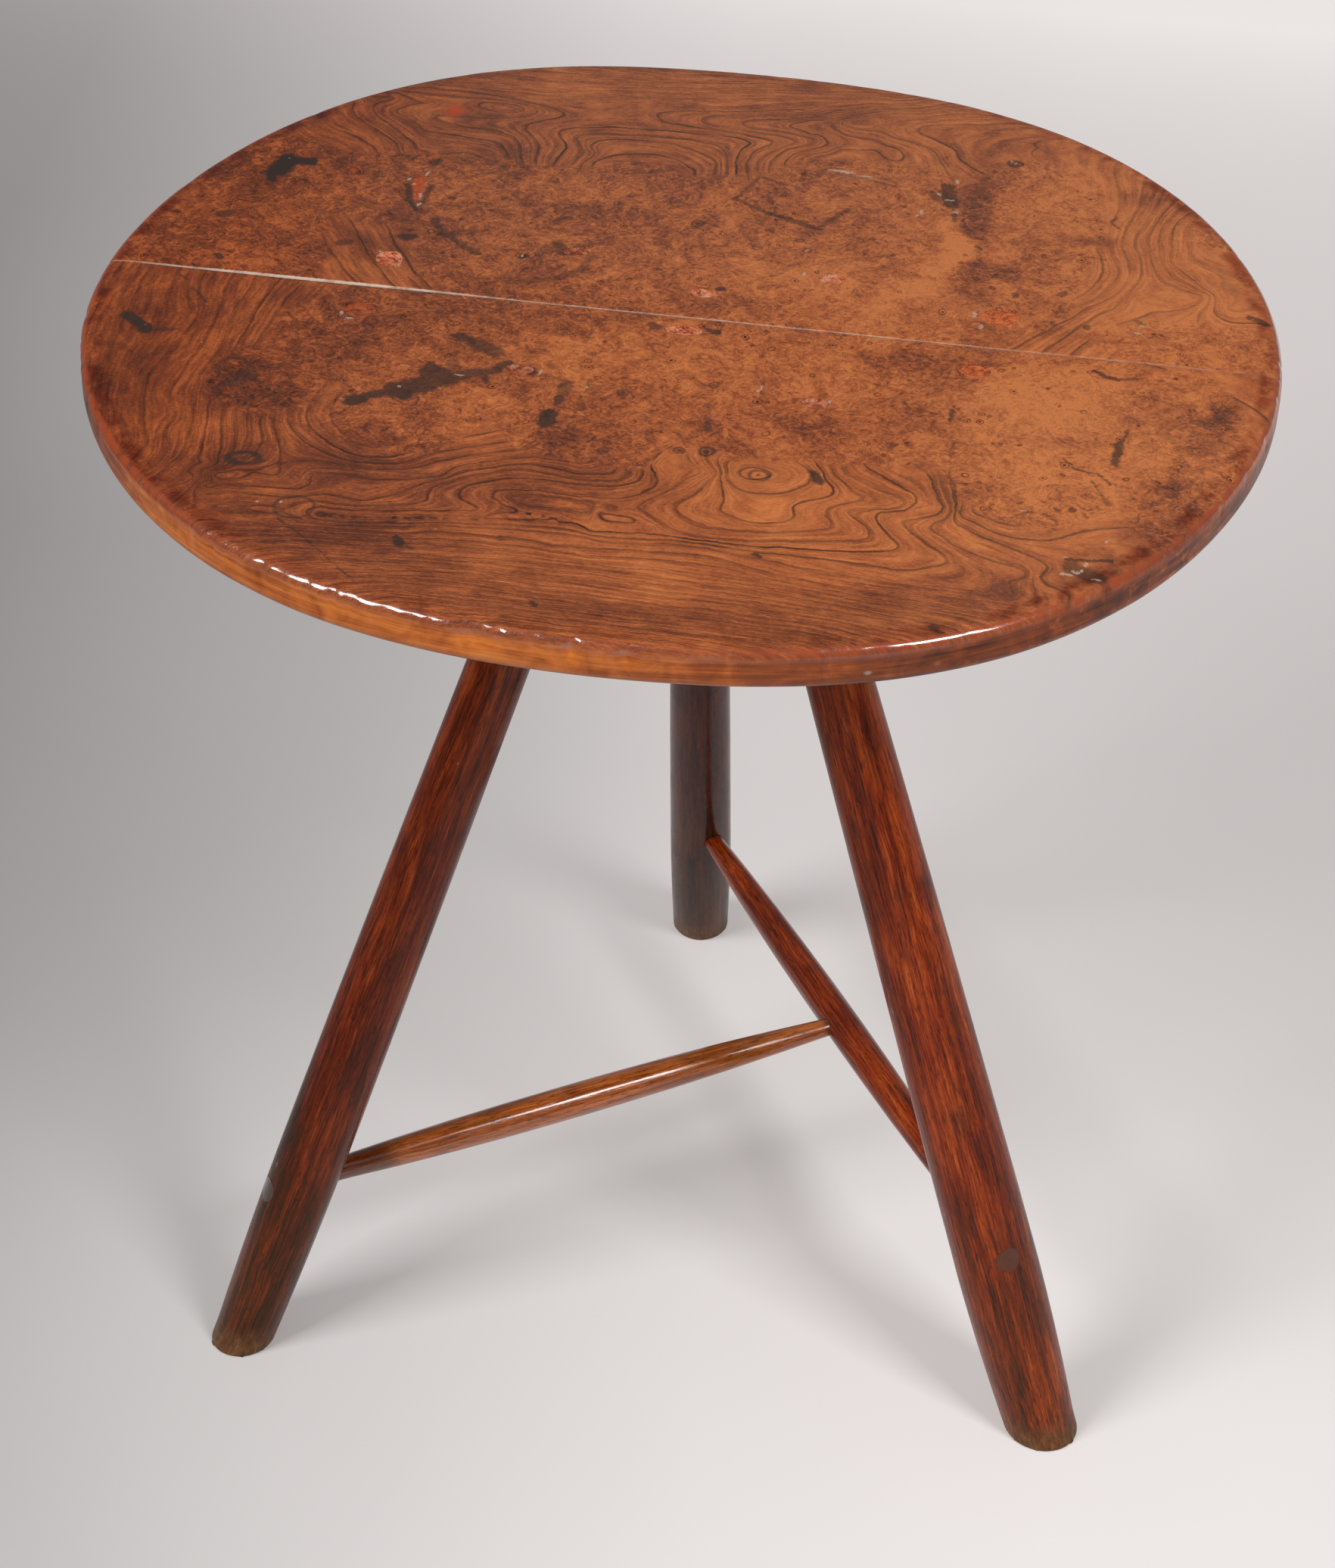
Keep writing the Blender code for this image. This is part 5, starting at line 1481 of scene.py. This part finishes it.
class CRICKET_OT_top_boards(bpy.types.Operator):
    """Makes the two worn elm boards of the top, with the holes for their stoppings"""
    bl_idname = "cricket.top_boards"
    bl_label = "Elm top boards"

    def execute(self, context):
        reach_at = top_outline()
        cells = sizes().top_cells // 1
        disc = whole_top(reach_at, cells)
        colours = palette()
        for name, wall_y, keep, figure, title in (
            ("top_board_front", TOP_FRONT_HIGH.y, -1.0, FRONT_FIGURE, "Burr elm, front board"),
            ("top_board_rear", TOP_REAR_LOW.y, 1.0, REAR_FIGURE, "Burr elm, rear board"),
        ):
            board = cut_board(disc.copy(), wall_y, keep)
            material = elm_material(title, effects(), figure, colours)
            piece = finished_object("worn_" + name, board, material, "elm_top", name)
            cutters = []
            for place in FILLERS:
                node = "filler_" + place
                low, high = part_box(node)
                if (low.y + high.y) / 2 * keep < JOINT_Y * keep:
                    continue
                hole = filler_solid(node, HOLE_EASE, 2.0 * MM, low.z - HOLE_EASE)
                cutters.append(finished_object("hole_" + place, hole))
            carve(piece, cutters)
            piece.data.set_sharp_from_angle(angle=SHARP)
            write_figure(piece, figure, reach_at)
        disc.free()
        return {"FINISHED"}


class CRICKET_OT_fillers(bpy.types.Operator):
    """Makes the ten red stoppings over the sunk screws"""
    bl_idname = "cricket.fillers"
    bl_label = "Red stoppings"

    def execute(self, context):
        material = filler_material(effects(), palette())
        for place in FILLERS:
            node = "filler_" + place
            bm = filler_solid(node, 0.0, None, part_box(node)[0].z)
            finished_object("worn_" + node, bm, material, "hole_filler", node, math.radians(50.0))
        return {"FINISHED"}


class CRICKET_OT_legs(bpy.types.Operator):
    """Makes the three shaved legs, mortised for the stretchers"""
    bl_idname = "cricket.legs"
    bl_label = "Shaved legs"

    def execute(self, context):
        colours = palette()
        tones = {"left": BROWN_TONES, "right": RED_TONES, "back": DARK_TONES}
        borers = {"left": "short", "right": "long", "back": "long"}
        for side in LEGS:
            node = "leg_" + side
            low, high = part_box(node)
            member = member_of(node)
            bm = turned_member(member, -LEG_OVERRUN, member.length + LEG_OVERRUN / 2)
            floor_edges = sawn_off(bm, (0.0, 0.0, low.z), (0.0, 0.0, -1.0))
            sawn_off(bm, (0.0, 0.0, high.z), (0.0, 0.0, 1.0))
            bmesh.ops.bevel(bm, geom=[e for e in floor_edges if e.is_valid], offset=FOOT_WEAR,
                            offset_type="OFFSET", affect="EDGES", segments=3, profile=0.5, material=-1)
            bmesh.ops.recalc_face_normals(bm, faces=bm.faces)
            fall = {"left": 0.11, "right": 0.07, "back": 0.0}[side]
            material = stick_material("Polished leg, " + side, effects(), member, tones[side], colours,
                                      foot=True, fall=fall)
            piece = finished_object("worn_" + node, bm, material, "leg_wood", node)
            carve(piece, [mortise(member_of("stretcher_" + borers[side]), member)])
            piece.data.set_sharp_from_angle(angle=SHARP)
        return {"FINISHED"}


def mortise(rail, leg):
    """A borer along a stretcher that reaches through one leg only."""
    start, end, gauge = -BORE_RUN_OUT, BORE_DEPTH, BORE_GAUGE
    if not at_foot(rail, leg):
        start, end, gauge = rail.length - end, rail.length - start, rail.length - gauge
    radius = rail.radius_at(gauge) + MORTISE_EASE
    plain = Member(rail.foot, rail.along, rail.length, lambda station: radius)
    return finished_object("borer", turned_member(plain, start, end, wander=0.0))


class CRICKET_OT_stretchers(bpy.types.Operator):
    """Makes the two stretchers of the T, with their through tenons pared to the legs"""
    bl_idname = "cricket.stretchers"
    bl_label = "Stretchers"

    def execute(self, context):
        colours = palette()
        tones = {"long": RED_TONES, "short": AMBER_TONES}
        for name in STRETCHERS:
            node = "stretcher_" + name
            rail = member_of(node)
            bm = turned_member(rail, 0.0, rail.length, cap_rings=4)
            joined = ("left",) if name == "short" else ("right", "back")
            pare_ends(bm, rail, [member_of("leg_" + side) for side in joined])
            gloss = 1.0 if name == "short" else 0.3
            material = stick_material("Polished stretcher, " + name, effects(), rail, tones[name], colours,
                                      gloss=gloss)
            finished_object("worn_" + node, bm, material, "leg_wood", node)
        return {"FINISHED"}


class CRICKET_OT_underframe(bpy.types.Operator):
    """Gives the leg block, its wedges and the hidden screws their finishes"""
    bl_idname = "cricket.underframe"
    bl_label = "Block, wedges and screws"

    def execute(self, context):
        colours = palette()
        block = sawn_material("Sawn block", BLOCK_TONES, colours)
        wedge = sawn_material("Split wedge", WEDGE_TONES, colours, (8.0, 8.0, 60.0))
        iron = iron_material(colours)
        dress("leg_block", block)
        for side in LEGS:
            dress("leg_wedge_" + side, wedge)
        for place in FILLERS:
            dress("screw_" + place, iron)
        return {"FINISHED"}


def dress(node, material):
    """Gives a frame node a finish in each of its slots."""
    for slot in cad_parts[node].material_slots:
        slot.material = material


def aimed(place, target, roll=0.0):
    """A placing that looks from one point at another."""
    turn = (target - place).to_track_quat("-Z", "Y").to_matrix().to_4x4()
    return Matrix.Translation(place) @ turn @ Matrix.Rotation(roll, 4, "Z")


def soft_lamp(name, place, target, width, power):
    """A square lamp that hangs in the studio."""
    lamp = bpy.data.lights.new(name, "AREA")
    lamp.shape = "RECTANGLE"
    lamp.size = width
    lamp.size_y = width
    lamp.energy = power
    made = bpy.data.objects.new(name, lamp)
    bpy.context.scene.collection.objects.link(made)
    made.matrix_world = aimed(place, target)
    return made


def paper_material():
    """Pale studio paper, its colour darker to the left as painted shade; it glows softly for the camera and
    in reflections, most on its far side, as a painted glow.
    """
    made, r = new_material("Studio paper")
    coordinate = r.here()
    x, y = r.split(coordinate)[:2]
    # Painted shade: the paper's colour darkens to the left, standing in for the lamps' fall-off.
    across = r.ramp_line(x * 0.98 + y * 0.06 - 0.02, -0.75, 0.75)
    shade = r.colours(across, PAPER_TONES)
    mottle = r.noise(coordinate, 2.2, 3.0, 0.5)
    shade = r.tinted(r.ease(mottle, 0.35, 0.75) * 0.08, shade, (0.5, 0.48, 0.47))
    path = r.node("LightPath")
    seen = r.most(r.wire(path, "Is Camera Ray"), r.wire(path, "Is Glossy Ray"))
    seen = r.most(seen, r.wire(path, "Is Transmission Ray"))
    distance = r.ramp_line(y, -0.3, 1.75)
    far = distance * distance * distance
    sweep = (x - CAMERA_PLACE.x) / r.most(y - CAMERA_PLACE.y, 0.3)
    near = r.ease(y, 0.2, -0.5) * r.ease(x, -0.2, 0.1) * 0.05
    glow = (0.20 + near + far * far * 0.30) * r.ramp_line(sweep, -0.47, -0.14, 0.40, 1.0)
    shine = r.vector("MULTIPLY", r.join(glow, glow, glow), (1.0, 0.93, 0.92))
    shader = r.node("BsdfPrincipled", None, {
        "Base Color": shade, "Roughness": 0.85, "Emission Color": r.scaled(shine, seen),
        "Emission Strength": 1.0,
    })
    out = r.node("OutputMaterial")
    r.tree.links.new(shader.outputs[0], out.inputs[0])
    return made


class CRICKET_OT_studio(bpy.types.Operator):
    """Lays the pale paper, hangs the soft lamps and sets the camera"""
    bl_idname = "cricket.studio"
    bl_label = "Studio"

    def execute(self, context):
        scene = context.scene
        bm = bmesh.new()
        bmesh.ops.create_grid(bm, x_segments=8, y_segments=8, size=sizes().floor_width / 2)
        mesh = bpy.data.meshes.new("paper")
        bm.to_mesh(mesh)
        bm.free()
        mesh.materials.append(paper_material())
        paper = bpy.data.objects.new("paper", mesh)
        scene.collection.objects.link(paper)

        world = bpy.data.worlds.new("Studio")
        world.use_nodes = True
        background = world.node_tree.nodes["Background"]
        background.inputs["Color"].default_value = WORLD_TINT
        background.inputs["Strength"].default_value = sizes().fill_strength
        scene.world = world

        for name, place, width, share in LAMPS:
            soft_lamp(name, Vector(place), LAMP_AIM, width, sizes().key_strength * share)

        lens = bpy.data.cameras.new("camera")
        lens.lens = CAMERA_LENS
        lens.sensor_width = SENSOR
        lens.sensor_fit = "AUTO"
        camera = bpy.data.objects.new("camera", lens)
        scene.collection.objects.link(camera)
        camera.matrix_world = aimed(CAMERA_PLACE, CAMERA_AIM, CAMERA_ROLL)
        scene.camera = camera
        scene.view_settings.view_transform = "Standard"
        return {"FINISHED"}


class CRICKET_PT_workshop(bpy.types.Panel):
    """Lists the table's pieces in the order that they are made"""
    bl_idname = "CRICKET_PT_workshop"
    bl_label = "Cricket table"
    bl_space_type = "VIEW_3D"
    bl_region_type = "UI"
    bl_category = "Cricket table"

    def draw(self, context):
        column = self.layout.column()
        for operator in OPERATORS:
            column.operator(operator.bl_idname)
        for name in CricketTableSizes.__annotations__:
            column.prop(context.scene.cricket_table_sizes, name)
        for name in CricketTableColours.__annotations__:
            column.prop(context.scene.cricket_table_colours, name)


OPERATORS = (
    CRICKET_OT_studio, CRICKET_OT_top_boards, CRICKET_OT_fillers, CRICKET_OT_stretchers,
    CRICKET_OT_legs, CRICKET_OT_underframe,
)
CLASSES = (CricketTableSizes, CricketTableColours, *OPERATORS, CRICKET_PT_workshop)


def register():
    for item in CLASSES:
        bpy.utils.register_class(item)
    bpy.types.Scene.cricket_table_sizes = bpy.props.PointerProperty(type=CricketTableSizes)
    bpy.types.Scene.cricket_table_colours = bpy.props.PointerProperty(type=CricketTableColours)


def unregister():
    del bpy.types.Scene.cricket_table_colours
    del bpy.types.Scene.cricket_table_sizes
    for item in reversed(CLASSES):
        bpy.utils.unregister_class(item)


def main():
    register()
    bpy.ops.cricket.studio()
    bpy.ops.cricket.top_boards()
    bpy.ops.cricket.fillers()
    bpy.ops.cricket.stretchers()
    bpy.ops.cricket.legs()
    bpy.ops.cricket.underframe()


if __name__ == "__main__":
    main()
